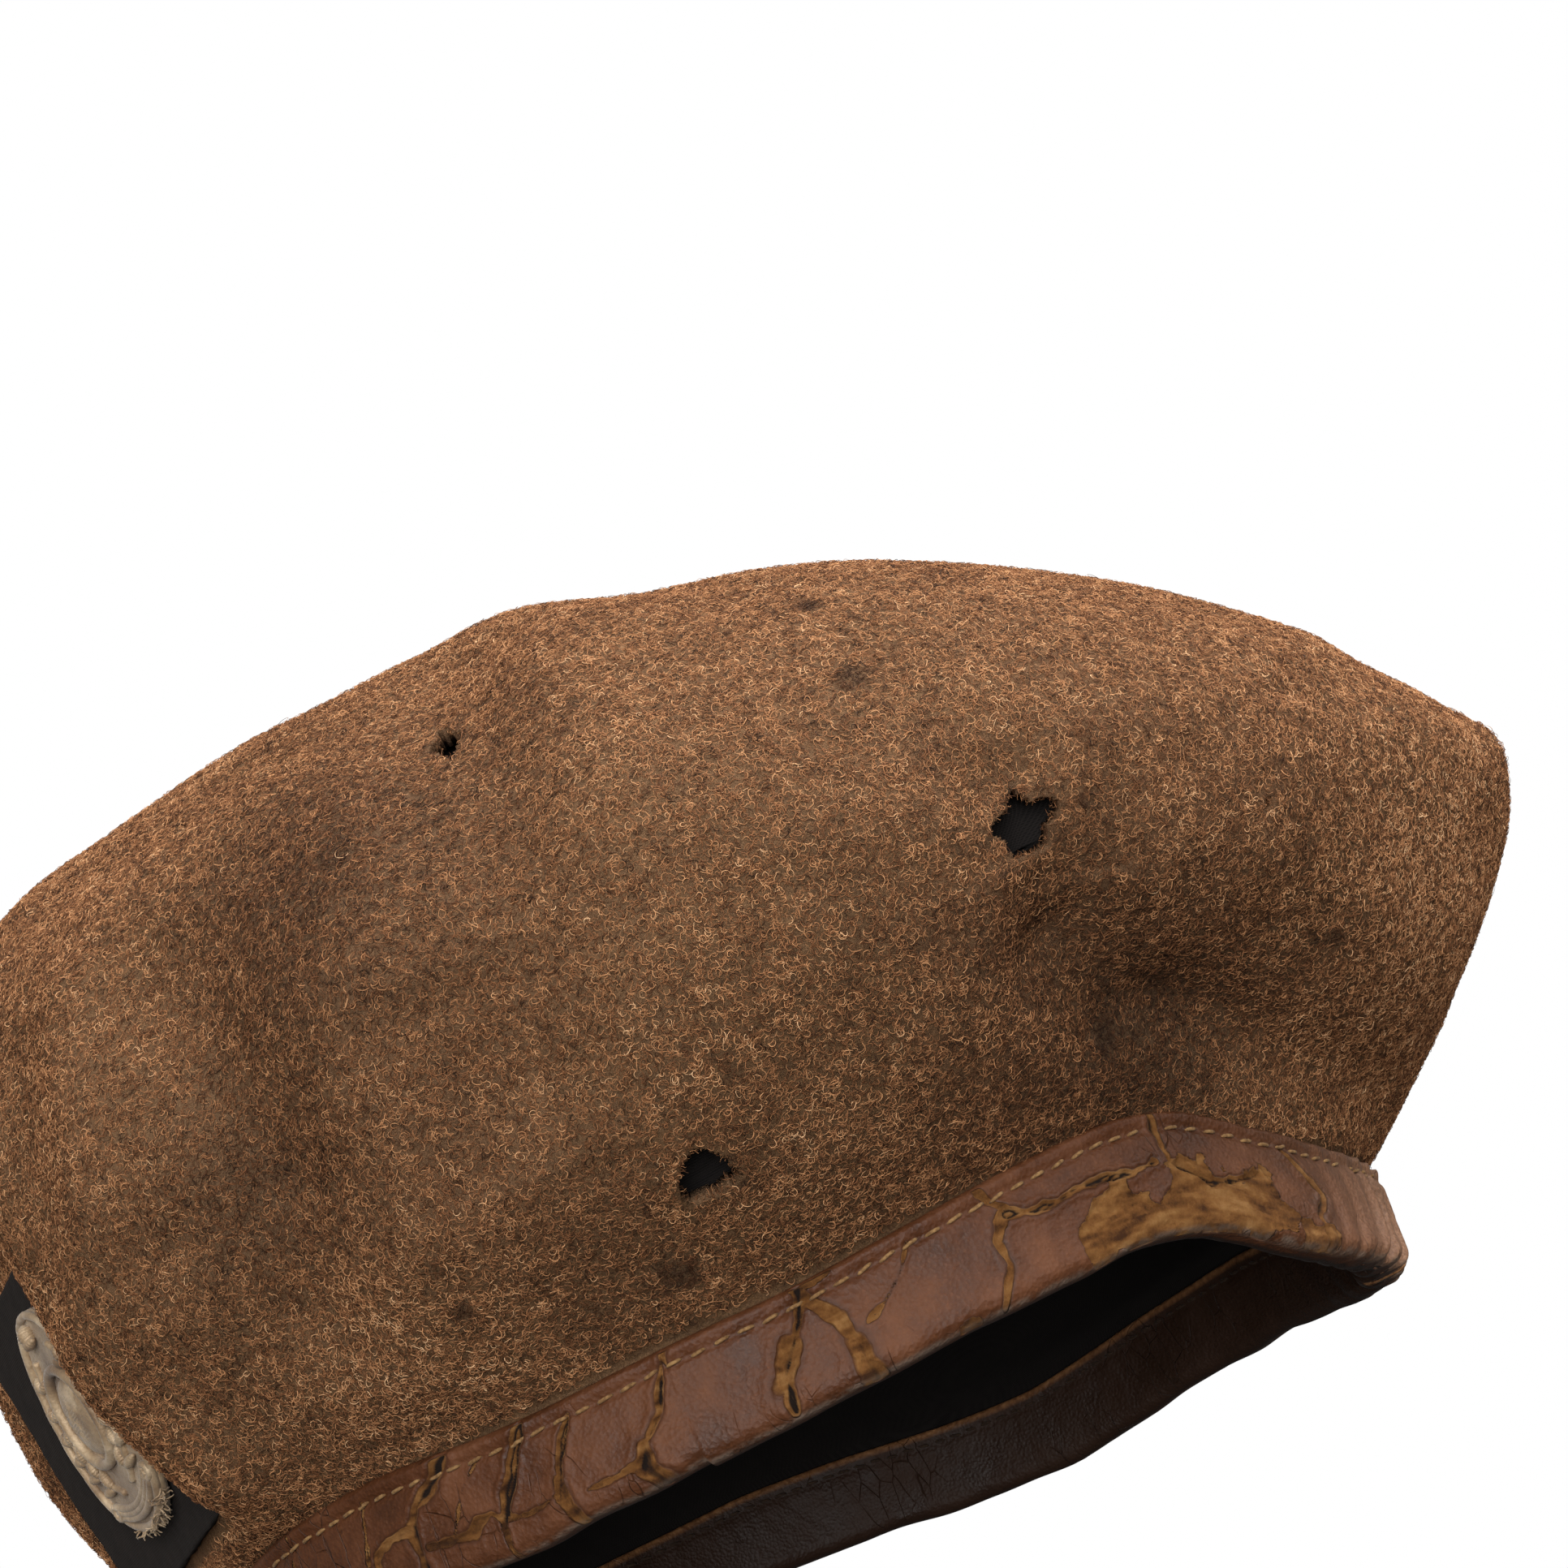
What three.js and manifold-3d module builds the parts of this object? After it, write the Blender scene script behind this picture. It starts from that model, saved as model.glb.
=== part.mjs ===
// A large-crowned felt beret with a leather-bound headband, a lining, a drawcord with two
// tails tucked inside at the back, two ventilation eyelets on the wearer's right, and a
// cloth-backed padded badge at the front left.
//
// Units are millimetres. +Z is up, -Y is the way the wearer faces and +X is the wearer's
// left. Angles go round the cap from the wearer's left: 90 degrees is the back, 180 the
// right and 270 the front. The origin is the middle of the cap's footprint, on the plane
// that the headband rests on.

import * as THREE from 'three';
import { mergeVertices } from 'three/addons/utils/BufferGeometryUtils.js';
import Module from 'manifold-3d';

const wasm = await Module();
wasm.setup();

// ---------------------------------------------------------------------------------------
// Driving dimensions
// ---------------------------------------------------------------------------------------

const gap = 0.3;

const headband = {
  halfLength: 93,
  halfWidth: 90,
  height: 15,
  leatherThickness: 1.3,
  backOpening: 6.8,
};

const felt = {
  thickness: 2.5,
  edgeHeight: 4.6,
  flareStart: headband.height + 0.6,
  columns: 56,
  flareRows: 7,
  domeRows: 8,
};

// How far the crown's rim stands out beyond the headband, and how high the rim is.
const rimOverhang = { left: 32, back: 47, right: 35, front: 24 };
const rimHeight = { left: 58, back: 52, right: 55, front: 84 };

// How soon the flare turns upright, and how square-shouldered the dome is.
const flareLift = { left: 0.45, back: 0.76, right: 0.75, front: 0.35 };
const shoulder = { left: 1.95, back: 1.5, right: 2.1, front: 2.6 };
const crownTop = new THREE.Vector3(1, -19, 140);

const lining = {
  thickness: 0.6,
  depthInBand: felt.thickness + gap,
  depthInCrown: felt.thickness + 1.4,
  edgeHeight: 5.2,
  seamHalfGap: 0.02,
};

// The stiffened flat panel that carries the badge, at the front left.
const panel = {
  centre: new THREE.Vector3(60.5, -82.7, 47),
  turnFromFront: 39,
  lean: 13,
  halfWidth: 25,
  halfHeight: 26,
  fade: 16,
};

const badge = {
  backingWidth: 44,
  backingHeight: 50,
  backingThickness: 1.4,
  standOff: 1.0,
  baseWidth: 27,
  baseHeight: 38,
  baseThickness: 1.4,
};

// Soft hollows in the worn crown: where, how wide in degrees, how tall and how deep.
const hollows = [
  { angle: 36, height: 33, spreadAngle: 9, spreadHeight: 13, depth: 5 },
  { angle: 337, height: 46, spreadAngle: 5, spreadHeight: 17, depth: 3.5 },
];

// Moth holes eaten through the felt, placed by angle and by position up the crown.
const mothHoles = [
  { angle: 28, rise: 0.78, radius: 4.2, lobes: 5 },
  { angle: 6, rise: 0.36, radius: 3.2, lobes: 3 },
  { angle: 0.5, rise: 1.3, radius: 1.8, lobes: 4 },
];

const eyelet = {
  boreRadius: 2.2,
  barrelRadius: 2.9,
  flangeRadius: 4.6,
  flangeThickness: 0.7,
  washerRadius: 5.2,
  washerThickness: 0.6,
  angles: [171, 189],
  rise: 0.42,
};

const cord = {
  radius: 1.1,
  tailLength: 42,
  tailSpread: 1.5,
  tailLean: 1.5,
  knotRadius: 2,
};

const thread = {
  radius: 0.35,
  height: 12.6,
};

// ---------------------------------------------------------------------------------------
// Materials
// ---------------------------------------------------------------------------------------

const material = (colour, roughness, metalness = 0) =>
  new THREE.MeshStandardMaterial({ color: colour, roughness, metalness });

const woolFelt = material(0x70513a, 0.95);
const blackCloth = material(0x1a1614, 0.9);
const liningCloth = material(0x17120f, 0.85);
const darkLeather = material(0x57392b, 0.6);
const tanThread = material(0xa87843, 0.8);
const cottonCord = material(0x2a211b, 0.9);
const fibreBoard = material(0x4a3d31, 0.9);
const blackenedMetal = material(0x2c2826, 0.45, 0.9);
const paleThread = material(0xa98e70, 0.75);

// ---------------------------------------------------------------------------------------
// The crown's surface
// ---------------------------------------------------------------------------------------

const radians = THREE.MathUtils.degToRad;

// Blends four values smoothly round the cap.
function bySide(angle, { left, back, right, front }) {
  const c = Math.cos(angle);
  const s = Math.sin(angle);
  const leftOrRight = c > 0 ? left : right;
  const backOrFront = s > 0 ? back : front;
  return leftOrRight * c * c + backOrFront * s * s;
}

const averageLength = (rimOverhang.front + rimOverhang.back) / 2;
const averageWidth = (rimOverhang.left + rimOverhang.right) / 2;
const rimCentreX = (rimOverhang.left - rimOverhang.right) / 2;
const rimCentreY = (rimOverhang.back - rimOverhang.front) / 2;

function rimPoint(angle) {
  return new THREE.Vector3(
    rimCentreX + (headband.halfWidth + averageWidth) * Math.cos(angle),
    rimCentreY + (headband.halfLength + averageLength) * Math.sin(angle),
    bySide(angle, rimHeight),
  );
}

// The upright wall inside the headband.
function wallPoint(angle, height) {
  return new THREE.Vector3(
    headband.halfWidth * Math.cos(angle),
    headband.halfLength * Math.sin(angle),
    height,
  );
}

// The flare from the headband out to the rim, upright where it meets the rim.
function flarePoint(angle, share) {
  const start = wallPoint(angle, felt.flareStart);
  const end = rimPoint(angle);
  const pull = end.clone();
  pull.z = THREE.MathUtils.lerp(start.z, end.z, bySide(angle, flareLift));
  return new THREE.QuadraticBezierCurve3(start, pull, end).getPoint(share);
}

// The dome from the rim in to the crown's top, as a rounded-square curve.
function domePoint(angle, share) {
  const rim = rimPoint(angle);
  const power = 2 / bySide(angle, shoulder);
  const turn = (share * Math.PI) / 2;
  const outward = Math.max(Math.cos(turn), 0) ** power;
  const upward = Math.sin(turn) ** power;
  return new THREE.Vector3(
    THREE.MathUtils.lerp(crownTop.x, rim.x, outward),
    THREE.MathUtils.lerp(crownTop.y, rim.y, outward),
    THREE.MathUtils.lerp(rim.z, crownTop.z, upward),
  );
}

const panelFrame = makePanelFrame();

function makePanelFrame() {
  const turn = radians(panel.turnFromFront);
  const lean = radians(panel.lean);
  const outward = new THREE.Vector3(
    Math.sin(turn) * Math.cos(lean),
    -Math.cos(turn) * Math.cos(lean),
    -Math.sin(lean),
  );
  const sideways = new THREE.Vector3(Math.cos(turn), Math.sin(turn), 0);
  const upward = new THREE.Vector3().crossVectors(outward, sideways);
  return { outward, sideways, upward };
}

// 1 inside the reach, falling smoothly to 0 over the fade.
function fadeOut(distance, reach, fade) {
  return 1 - THREE.MathUtils.smoothstep(Math.abs(distance), reach, reach + fade);
}

// Presses the crown flat where the stiffener stands behind it.
function pressToPanel(point) {
  const offset = point.clone().sub(panel.centre);
  const across = offset.dot(panelFrame.sideways);
  const up = offset.dot(panelFrame.upward);
  const proud = offset.dot(panelFrame.outward);
  if (Math.abs(proud) > panel.halfWidth) return point;
  const hold = fadeOut(across, panel.halfWidth, panel.fade)
    * fadeOut(up, panel.halfHeight, panel.fade)
    * THREE.MathUtils.smoothstep(point.z, felt.flareStart, felt.flareStart + 4);
  return point.addScaledVector(panelFrame.outward, -proud * hold);
}

// Pulls the crown inwards at its soft hollows.
function sinkHollows(point, angle) {
  const inward = new THREE.Vector3(-Math.cos(angle), -Math.sin(angle), 0);
  for (const hollow of hollows) {
    const turn = angle - radians(hollow.angle);
    const around = Math.atan2(Math.sin(turn), Math.cos(turn)) / radians(hollow.spreadAngle);
    const up = (point.z - hollow.height) / hollow.spreadHeight;
    const clearOfBand = THREE.MathUtils.smoothstep(point.z, felt.flareStart, 30);
    const sink = hollow.depth * Math.exp(-around * around - up * up) * clearOfBand;
    point.addScaledVector(inward, sink);
  }
  return point;
}

// The felt's outer face. Rise runs from -1 at its hidden lower edge, through 0 where it
// leaves the headband and 1 at the rim, to 2 at the crown's top.
function crownPoint(angle, rise, edgeHeight = felt.edgeHeight) {
  if (rise <= 0) {
    return wallPoint(angle, THREE.MathUtils.lerp(felt.flareStart, edgeHeight, -rise));
  }
  const point = rise <= 1 ? flarePoint(angle, rise) : domePoint(angle, rise - 1);
  return pressToPanel(sinkHollows(point, angle));
}

function crownNormal(angle, rise) {
  if (rise >= 2) return new THREE.Vector3(0, 0, 1);
  const turnStep = radians(2);
  const riseStep = 0.04;
  const around = crownPoint(angle + turnStep, rise).sub(crownPoint(angle - turnStep, rise));
  const low = Math.max(rise - riseStep, -1);
  const high = Math.min(rise + riseStep, 1.99);
  const up = crownPoint(angle, high).sub(crownPoint(angle, low));
  return around.cross(up).normalize();
}

// ---------------------------------------------------------------------------------------
// Closed bodies
// ---------------------------------------------------------------------------------------

function signedVolume(geometry) {
  const position = geometry.getAttribute('position');
  const index = geometry.getIndex();
  const count = index ? index.count : position.count;
  const corner = [new THREE.Vector3(), new THREE.Vector3(), new THREE.Vector3()];
  let total = 0;
  for (let i = 0; i < count; i += 3) {
    corner.forEach((vertex, k) => {
      vertex.fromBufferAttribute(position, index ? index.getX(i + k) : i + k);
    });
    total += corner[0].dot(corner[1].clone().cross(corner[2]));
  }
  return total / 6;
}

// Merges shared corners and turns the faces outwards.
function closedBody(geometry) {
  const bare = geometry.clone();
  bare.deleteAttribute('normal');
  bare.deleteAttribute('uv');
  const body = mergeVertices(bare, 1e-4);
  if (signedVolume(body) < 0) {
    const index = body.getIndex();
    for (let i = 0; i < index.count; i += 3) {
      const first = index.getX(i);
      index.setX(i, index.getX(i + 1));
      index.setX(i + 1, first);
    }
  }
  return body;
}

function toSolid(geometry) {
  const body = closedBody(geometry);
  return new wasm.Manifold(new wasm.Mesh({
    numProp: 3,
    vertProperties: new Float32Array(body.getAttribute('position').array),
    triVerts: new Uint32Array(body.getIndex().array),
  }));
}

function cutAway(geometry, cutters) {
  let solid = toSolid(geometry);
  for (const cutter of cutters) {
    solid = solid.subtract(toSolid(cutter));
  }
  const mesh = solid.getMesh();
  const result = new THREE.BufferGeometry();
  result.setAttribute('position', new THREE.BufferAttribute(mesh.vertProperties, 3));
  result.setIndex(new THREE.BufferAttribute(mesh.triVerts, 1));
  return result;
}

function fromTriangles(points, triangles) {
  const geometry = new THREE.BufferGeometry().setFromPoints(points);
  geometry.setIndex(triangles.flat());
  return geometry;
}

// A sheet that follows the crown between two depths below its outer face. It goes all
// round when `closed`, and closes over the top when its last row is the crown's top.
function thickSheet({ angles, rows, closed, outerDepth, innerDepth, edgeHeight }) {
  const overTop = rows[rows.length - 1] >= 2;
  const ringRows = overTop ? rows.slice(0, -1) : rows;
  const columns = angles.length;
  const points = [];
  const skins = [outerDepth, innerDepth].map((depth) => {
    const start = points.length;
    for (const rise of ringRows) {
      for (const angle of angles) {
        const normal = crownNormal(angle, rise);
        points.push(crownPoint(angle, rise, edgeHeight).addScaledVector(normal, -depth(rise)));
      }
    }
    if (overTop) points.push(crownTop.clone().setZ(crownTop.z - depth(2)));
    return (column, row) => start + row * columns + (column % columns);
  });
  const [outer, inner] = skins;
  const triangles = [];
  const quad = (a, b, c, d) => triangles.push([a, b, c], [a, c, d]);
  const lastRow = ringRows.length - 1;
  const strips = closed ? columns : columns - 1;
  for (let i = 0; i < strips; i++) {
    for (let j = 0; j < lastRow; j++) {
      quad(outer(i, j), outer(i + 1, j), outer(i + 1, j + 1), outer(i, j + 1));
      quad(inner(i, j), inner(i, j + 1), inner(i + 1, j + 1), inner(i + 1, j));
    }
    quad(outer(i, 0), inner(i, 0), inner(i + 1, 0), outer(i + 1, 0));
    if (overTop) {
      const outerTop = outer(0, ringRows.length);
      const innerTop = inner(0, ringRows.length);
      triangles.push([outer(i, lastRow), outer(i + 1, lastRow), outerTop]);
      triangles.push([inner(i + 1, lastRow), inner(i, lastRow), innerTop]);
    } else {
      quad(outer(i, lastRow), outer(i + 1, lastRow), inner(i + 1, lastRow), inner(i, lastRow));
    }
  }
  if (!closed) {
    const end = columns - 1;
    for (let j = 0; j < lastRow; j++) {
      quad(outer(0, j), outer(0, j + 1), inner(0, j + 1), inner(0, j));
      quad(outer(end, j), inner(end, j), inner(end, j + 1), outer(end, j + 1));
    }
  }
  return fromTriangles(points, triangles);
}

// A strip with one cross-section, given as distance out from the felt and height, swept
// round the headband from one side of the back opening to the other.
function bandStrip(section, steps, halfOpening = headband.backOpening / 2) {
  const opening = halfOpening / headband.halfLength;
  const start = Math.PI / 2 + opening;
  const sweep = 2 * Math.PI - 2 * opening;
  const points = [];
  for (let i = 0; i <= steps; i++) {
    const angle = start + (sweep * i) / steps;
    const normal = crownNormal(angle, -1);
    for (const [out, height] of section) {
      points.push(wallPoint(angle, height).addScaledVector(normal, out));
    }
  }
  const count = section.length;
  const triangles = [];
  for (let i = 0; i < steps; i++) {
    for (let k = 0; k < count; k++) {
      const next = (k + 1) % count;
      const here = i * count;
      const there = here + count;
      triangles.push([here + k, there + k, there + next], [here + k, there + next, here + next]);
    }
  }
  const contour = section.map(([out, height]) => new THREE.Vector2(out, height));
  for (const [a, b, c] of THREE.ShapeUtils.triangulateShape(contour, [])) {
    const far = steps * count;
    triangles.push([a, b, c], [far + a, far + c, far + b]);
  }
  return fromTriangles(points, triangles);
}

function roundSection(out, height, radius, sides) {
  return Array.from({ length: sides }, (_, k) => {
    const turn = (2 * Math.PI * (k + 0.5)) / sides;
    return [out + radius * Math.cos(turn), height + radius * Math.sin(turn)];
  });
}

// A turned body about +Z from a profile of radius and height.
function turned(profile, sides) {
  const points = profile.map(([radius, height]) => new THREE.Vector2(radius, height));
  return new THREE.LatheGeometry(points, sides).rotateX(Math.PI / 2);
}

function roundedRectangle(width, height, corner) {
  const x = width / 2;
  const y = height / 2;
  const shape = new THREE.Shape();
  shape.moveTo(-x + corner, -y);
  shape.lineTo(x - corner, -y);
  shape.absarc(x - corner, -y + corner, corner, -Math.PI / 2, 0);
  shape.lineTo(x, y - corner);
  shape.absarc(x - corner, y - corner, corner, 0, Math.PI / 2);
  shape.lineTo(-x + corner, y);
  shape.absarc(-x + corner, y - corner, corner, Math.PI / 2, Math.PI);
  shape.lineTo(-x, -y + corner);
  shape.absarc(-x + corner, -y + corner, corner, Math.PI, 1.5 * Math.PI);
  return shape;
}

function plate(shape, thickness, curveSegments = 4) {
  return new THREE.ExtrudeGeometry(shape, {
    depth: thickness,
    bevelEnabled: false,
    curveSegments,
  });
}

// A padded cord of round section along a curve.
function paddedCord(curve, radius, steps, sides = 6) {
  const section = new THREE.Shape();
  section.absarc(0, 0, radius, 0, 2 * Math.PI);
  return new THREE.ExtrudeGeometry(section, {
    steps,
    curveSegments: sides,
    extrudePath: curve,
    bevelEnabled: false,
  });
}

// Moves a body made at the origin, facing +Z, to stand on the crown's outer face.
function standOnCrown(geometry, degrees, rise) {
  const angle = radians(degrees);
  const turn = new THREE.Quaternion().setFromUnitVectors(
    new THREE.Vector3(0, 0, 1),
    crownNormal(angle, rise),
  );
  return geometry.applyQuaternion(turn).translate(...crownPoint(angle, rise).toArray());
}

// ---------------------------------------------------------------------------------------
// Rows and columns of the crown
// ---------------------------------------------------------------------------------------

const columnAngles = Array.from(
  { length: felt.columns },
  (_, i) => (2 * Math.PI * i) / felt.columns,
);

const seamLow = 1 - lining.seamHalfGap;
const seamHigh = 1 + lining.seamHalfGap;
const flareRises = Array.from({ length: felt.flareRows }, (_, j) => j / felt.flareRows);
const domeRises = Array.from({ length: felt.domeRows }, (_, j) => 1 + (j + 1) / felt.domeRows);
const sideRows = [-1, ...flareRises, seamLow];
const crownRows = [seamHigh, ...domeRises];

function liningDepth(rise) {
  const ease = THREE.MathUtils.smoothstep(rise, 0, 0.3);
  return THREE.MathUtils.lerp(lining.depthInBand, lining.depthInCrown, ease);
}

const liningInnerDepth = (rise) => liningDepth(rise) + lining.thickness;

// ---------------------------------------------------------------------------------------
// Sub-parts
// ---------------------------------------------------------------------------------------

// A ragged disc, wobbling between lobes, long enough to pass through the felt only.
function mothHoleCutter({ angle, rise, radius, lobes }) {
  const corners = Array.from({ length: 2 * lobes + 1 }, (_, k) => {
    const turn = (2 * Math.PI * k) / (2 * lobes + 1);
    const reach = radius * (1 + 0.22 * Math.sin(lobes * turn) + 0.1 * Math.cos(2 * turn));
    return new THREE.Vector2(reach * Math.cos(turn), reach * Math.sin(turn));
  });
  const depth = 4 * felt.thickness;
  const cutter = plate(new THREE.Shape(corners), depth).translate(0, 0, -depth / 2);
  return standOnCrown(cutter, angle, rise);
}

function eyeletCutter(degrees) {
  const radius = eyelet.barrelRadius + gap;
  const reach = 14;
  const cutter = turned([[0, -reach], [radius, -reach], [radius, reach], [0, reach]], 14);
  return standOnCrown(cutter, degrees, eyelet.rise);
}

function feltBody() {
  const shell = thickSheet({
    angles: columnAngles,
    rows: [...sideRows, ...crownRows],
    closed: true,
    outerDepth: () => 0,
    innerDepth: () => felt.thickness,
    edgeHeight: felt.edgeHeight,
  });
  return cutAway(shell, [...mothHoles.map(mothHoleCutter), ...eyelet.angles.map(eyeletCutter)]);
}

function liningSide() {
  const ring = thickSheet({
    angles: columnAngles,
    rows: sideRows,
    closed: true,
    outerDepth: liningDepth,
    innerDepth: liningInnerDepth,
    edgeHeight: lining.edgeHeight,
  });
  return cutAway(ring, eyelet.angles.map(eyeletCutter));
}

function liningCrown() {
  return thickSheet({
    angles: columnAngles,
    rows: crownRows,
    closed: true,
    outerDepth: liningDepth,
    innerDepth: liningInnerDepth,
    edgeHeight: lining.edgeHeight,
  });
}

// A stiff board between felt and lining, behind the badge.
function badgeStiffener() {
  const reach = 3.5;
  const middle = 305.5;
  const step = 360 / felt.columns;
  const nearest = Math.round(middle / step);
  const angles = [];
  for (let i = nearest - reach + 0.5; i <= nearest + reach - 0.5; i++) {
    angles.push(radians(i * step));
  }
  return thickSheet({
    angles,
    rows: flareRises.slice(2),
    closed: false,
    outerDepth: () => felt.thickness + gap,
    innerDepth: () => lining.depthInCrown - gap,
    edgeHeight: felt.edgeHeight,
  });
}

// The leather folded round the felt's edge, with a flap inside and a flap outside.
const bindingOuterFace = gap + headband.leatherThickness;
const bindingInnerFace = -(lining.depthInBand + lining.thickness + gap
  + headband.leatherThickness);

function leatherBinding() {
  const outFace = bindingOuterFace;
  const inFace = bindingInnerFace;
  const thick = headband.leatherThickness;
  const top = headband.height;
  const section = [
    [inFace + 0.8, 0],
    [outFace - 0.8, 0],
    [outFace, 1],
    [outFace, top - 0.4],
    [outFace - 0.4, top],
    [outFace - thick, top],
    [outFace - thick, thick],
    [inFace + thick, thick],
    [inFace + thick, top],
    [inFace + 0.4, top],
    [inFace, top - 0.4],
    [inFace, 1],
  ];
  return bandStrip(section, 72);
}

function bindingThread(face, side) {
  const out = face + side * (gap + thread.radius);
  return bandStrip(roundSection(out, thread.height, thread.radius, 4), 60, 5);
}

// The cord runs in the tunnel between the felt's edge and the fold of the leather.
const tunnelMiddle = (bindingOuterFace + bindingInnerFace) / 2;

function drawcord() {
  const floor = headband.leatherThickness + gap;
  return bandStrip(roundSection(tunnelMiddle, floor + cord.radius, cord.radius, 6), 56);
}

// One end of the cord, standing up inside the back of the cap, with a knot at its tip.
function drawcordTail() {
  const length = cord.tailLength;
  const knot = cord.knotRadius;
  return turned([
    [0, 0],
    [cord.radius, 0],
    [cord.radius, length - 3 * knot],
    [knot, length - 2.2 * knot],
    [knot, length - 1.2 * knot],
    [cord.radius, length - 0.5 * knot],
    [0.8, length],
    [0, length],
  ], 8);
}

function eyeletBody() {
  const rollTop = -(lining.depthInCrown + lining.thickness + 0.6 + eyelet.washerThickness + gap);
  const rollBottom = rollTop - 0.5;
  return turned([
    [eyelet.boreRadius, rollBottom],
    [eyelet.barrelRadius + 0.8, rollBottom],
    [eyelet.barrelRadius + 0.8, rollTop],
    [eyelet.barrelRadius, rollTop],
    [eyelet.barrelRadius, gap],
    [eyelet.flangeRadius, gap],
    [eyelet.flangeRadius - 0.4, gap + eyelet.flangeThickness],
    [eyelet.boreRadius, gap + eyelet.flangeThickness],
    [eyelet.boreRadius, rollBottom],
  ], 14);
}

function eyeletWasher() {
  const top = -(lining.depthInCrown + lining.thickness + 0.6);
  const bottom = top - eyelet.washerThickness;
  const inner = eyelet.barrelRadius + gap;
  return turned([
    [inner, bottom],
    [eyelet.washerRadius, bottom],
    [eyelet.washerRadius, top],
    [inner, top],
    [inner, bottom],
  ], 14);
}

// Badge pieces are made facing +Z with the badge's middle at the origin, and stacked
// outwards from the felt: backing, base, then the padded work.
const backingTop = badge.standOff + badge.backingThickness;
const baseTop = backingTop + gap + badge.baseThickness;

function badgeBacking() {
  const shape = roundedRectangle(badge.backingWidth, badge.backingHeight, 6);
  return plate(shape, badge.backingThickness).translate(0, 0, badge.standOff);
}

// A tall plaque, narrowing a little towards its top.
function badgeBase() {
  const corners = Array.from({ length: 28 }, (_, k) => {
    const turn = (2 * Math.PI * k) / 28;
    const taper = 1 - 0.16 * Math.sin(turn);
    return new THREE.Vector2(
      (badge.baseWidth / 2) * Math.cos(turn) * taper,
      (badge.baseHeight / 2) * Math.sin(turn),
    );
  });
  return plate(new THREE.Shape(corners), badge.baseThickness).translate(0, 0, backingTop + gap);
}

function badgeBoss() {
  const radius = 5;
  const rise = 2.6;
  const dome = Array.from({ length: 5 }, (_, k) => {
    const turn = (Math.PI / 2) * (k / 4);
    return [radius * Math.cos(turn), rise * Math.sin(turn)];
  });
  return turned([[0, 0], ...dome], 14).scale(1, 1.35, 1).translate(0, 1.5, baseTop + gap);
}

function badgeBossCord() {
  const tube = 0.8;
  return new THREE.TorusGeometry(6.4, tube, 6, 20)
    .scale(1, 1.28, 1)
    .translate(0, 1.5, baseTop + gap + tube);
}

// A leaf spray curving up one side of the boss.
function badgeSpray(side) {
  const radius = 1.2;
  const height = baseTop + gap + radius;
  const curve = new THREE.QuadraticBezierCurve3(
    new THREE.Vector3(side * 2.6, -11.6, height),
    new THREE.Vector3(side * 14.5, -3, height),
    new THREE.Vector3(side * 4.2, 12.8, height),
  );
  return paddedCord(curve, radius, 10);
}

// A blank ribbon under the sprays, curling down at its ends.
function badgeScroll() {
  const radius = 1.3;
  const height = baseTop + gap + radius;
  const curve = new THREE.QuadraticBezierCurve3(
    new THREE.Vector3(-9, -12.5, height),
    new THREE.Vector3(0, -18.2, height),
    new THREE.Vector3(9, -12.5, height),
  );
  return paddedCord(curve, radius, 9);
}

function badgeFinial() {
  const profile = [[0, 0], [2, 0], [1.7, 1.3], [0.9, 2], [0, 2.2]];
  return turned(profile, 10).translate(0, 15.6, baseTop + gap);
}

// ---------------------------------------------------------------------------------------
// Assembly
// ---------------------------------------------------------------------------------------

function piece(name, geometry, finish) {
  const mesh = new THREE.Mesh(closedBody(geometry), finish);
  mesh.name = name;
  return mesh;
}

function bandPieces() {
  const group = new THREE.Group();
  group.add(
    piece('leather_binding', leatherBinding(), darkLeather),
    piece('binding_stitching_outer', bindingThread(bindingOuterFace, 1), tanThread),
    piece('binding_stitching_inner', bindingThread(bindingInnerFace, -1), tanThread),
    piece('drawcord', drawcord(), cottonCord),
  );
  return group;
}

// The tails stand side by side in the back opening, leaning a little apart.
function tailPieces() {
  const group = new THREE.Group();
  const liningFace = headband.halfLength - lining.depthInBand - lining.thickness;
  const back = liningFace - gap - cord.radius;
  for (const [name, side] of [['drawcord_tail_left', 1], ['drawcord_tail_right', -1]]) {
    const tail = piece(name, drawcordTail(), cottonCord);
    tail.position.set(side * cord.tailSpread, back, 1.5);
    tail.rotation.y = side * radians(cord.tailLean);
    group.add(tail);
  }
  return group;
}

function eyeletPieces() {
  const group = new THREE.Group();
  for (const [end, degrees] of [['rear', eyelet.angles[0]], ['front', eyelet.angles[1]]]) {
    const body = standOnCrown(eyeletBody(), degrees, eyelet.rise);
    const washer = standOnCrown(eyeletWasher(), degrees, eyelet.rise);
    group.add(piece(`eyelet_${end}`, body, blackenedMetal));
    group.add(piece(`eyelet_washer_${end}`, washer, blackenedMetal));
  }
  return group;
}

function badgePieces() {
  const group = new THREE.Group();
  group.add(
    piece('badge_backing', badgeBacking(), blackCloth),
    piece('badge_base', badgeBase(), paleThread),
    piece('badge_boss', badgeBoss(), paleThread),
    piece('badge_boss_cord', badgeBossCord(), paleThread),
    piece('badge_spray_left', badgeSpray(1), paleThread),
    piece('badge_spray_right', badgeSpray(-1), paleThread),
    piece('badge_scroll', badgeScroll(), paleThread),
    piece('badge_finial', badgeFinial(), paleThread),
  );
  const { sideways, upward, outward } = panelFrame;
  const basis = new THREE.Matrix4().makeBasis(sideways, upward, outward);
  group.quaternion.setFromRotationMatrix(basis);
  group.position.copy(panel.centre);
  return group;
}

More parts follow.
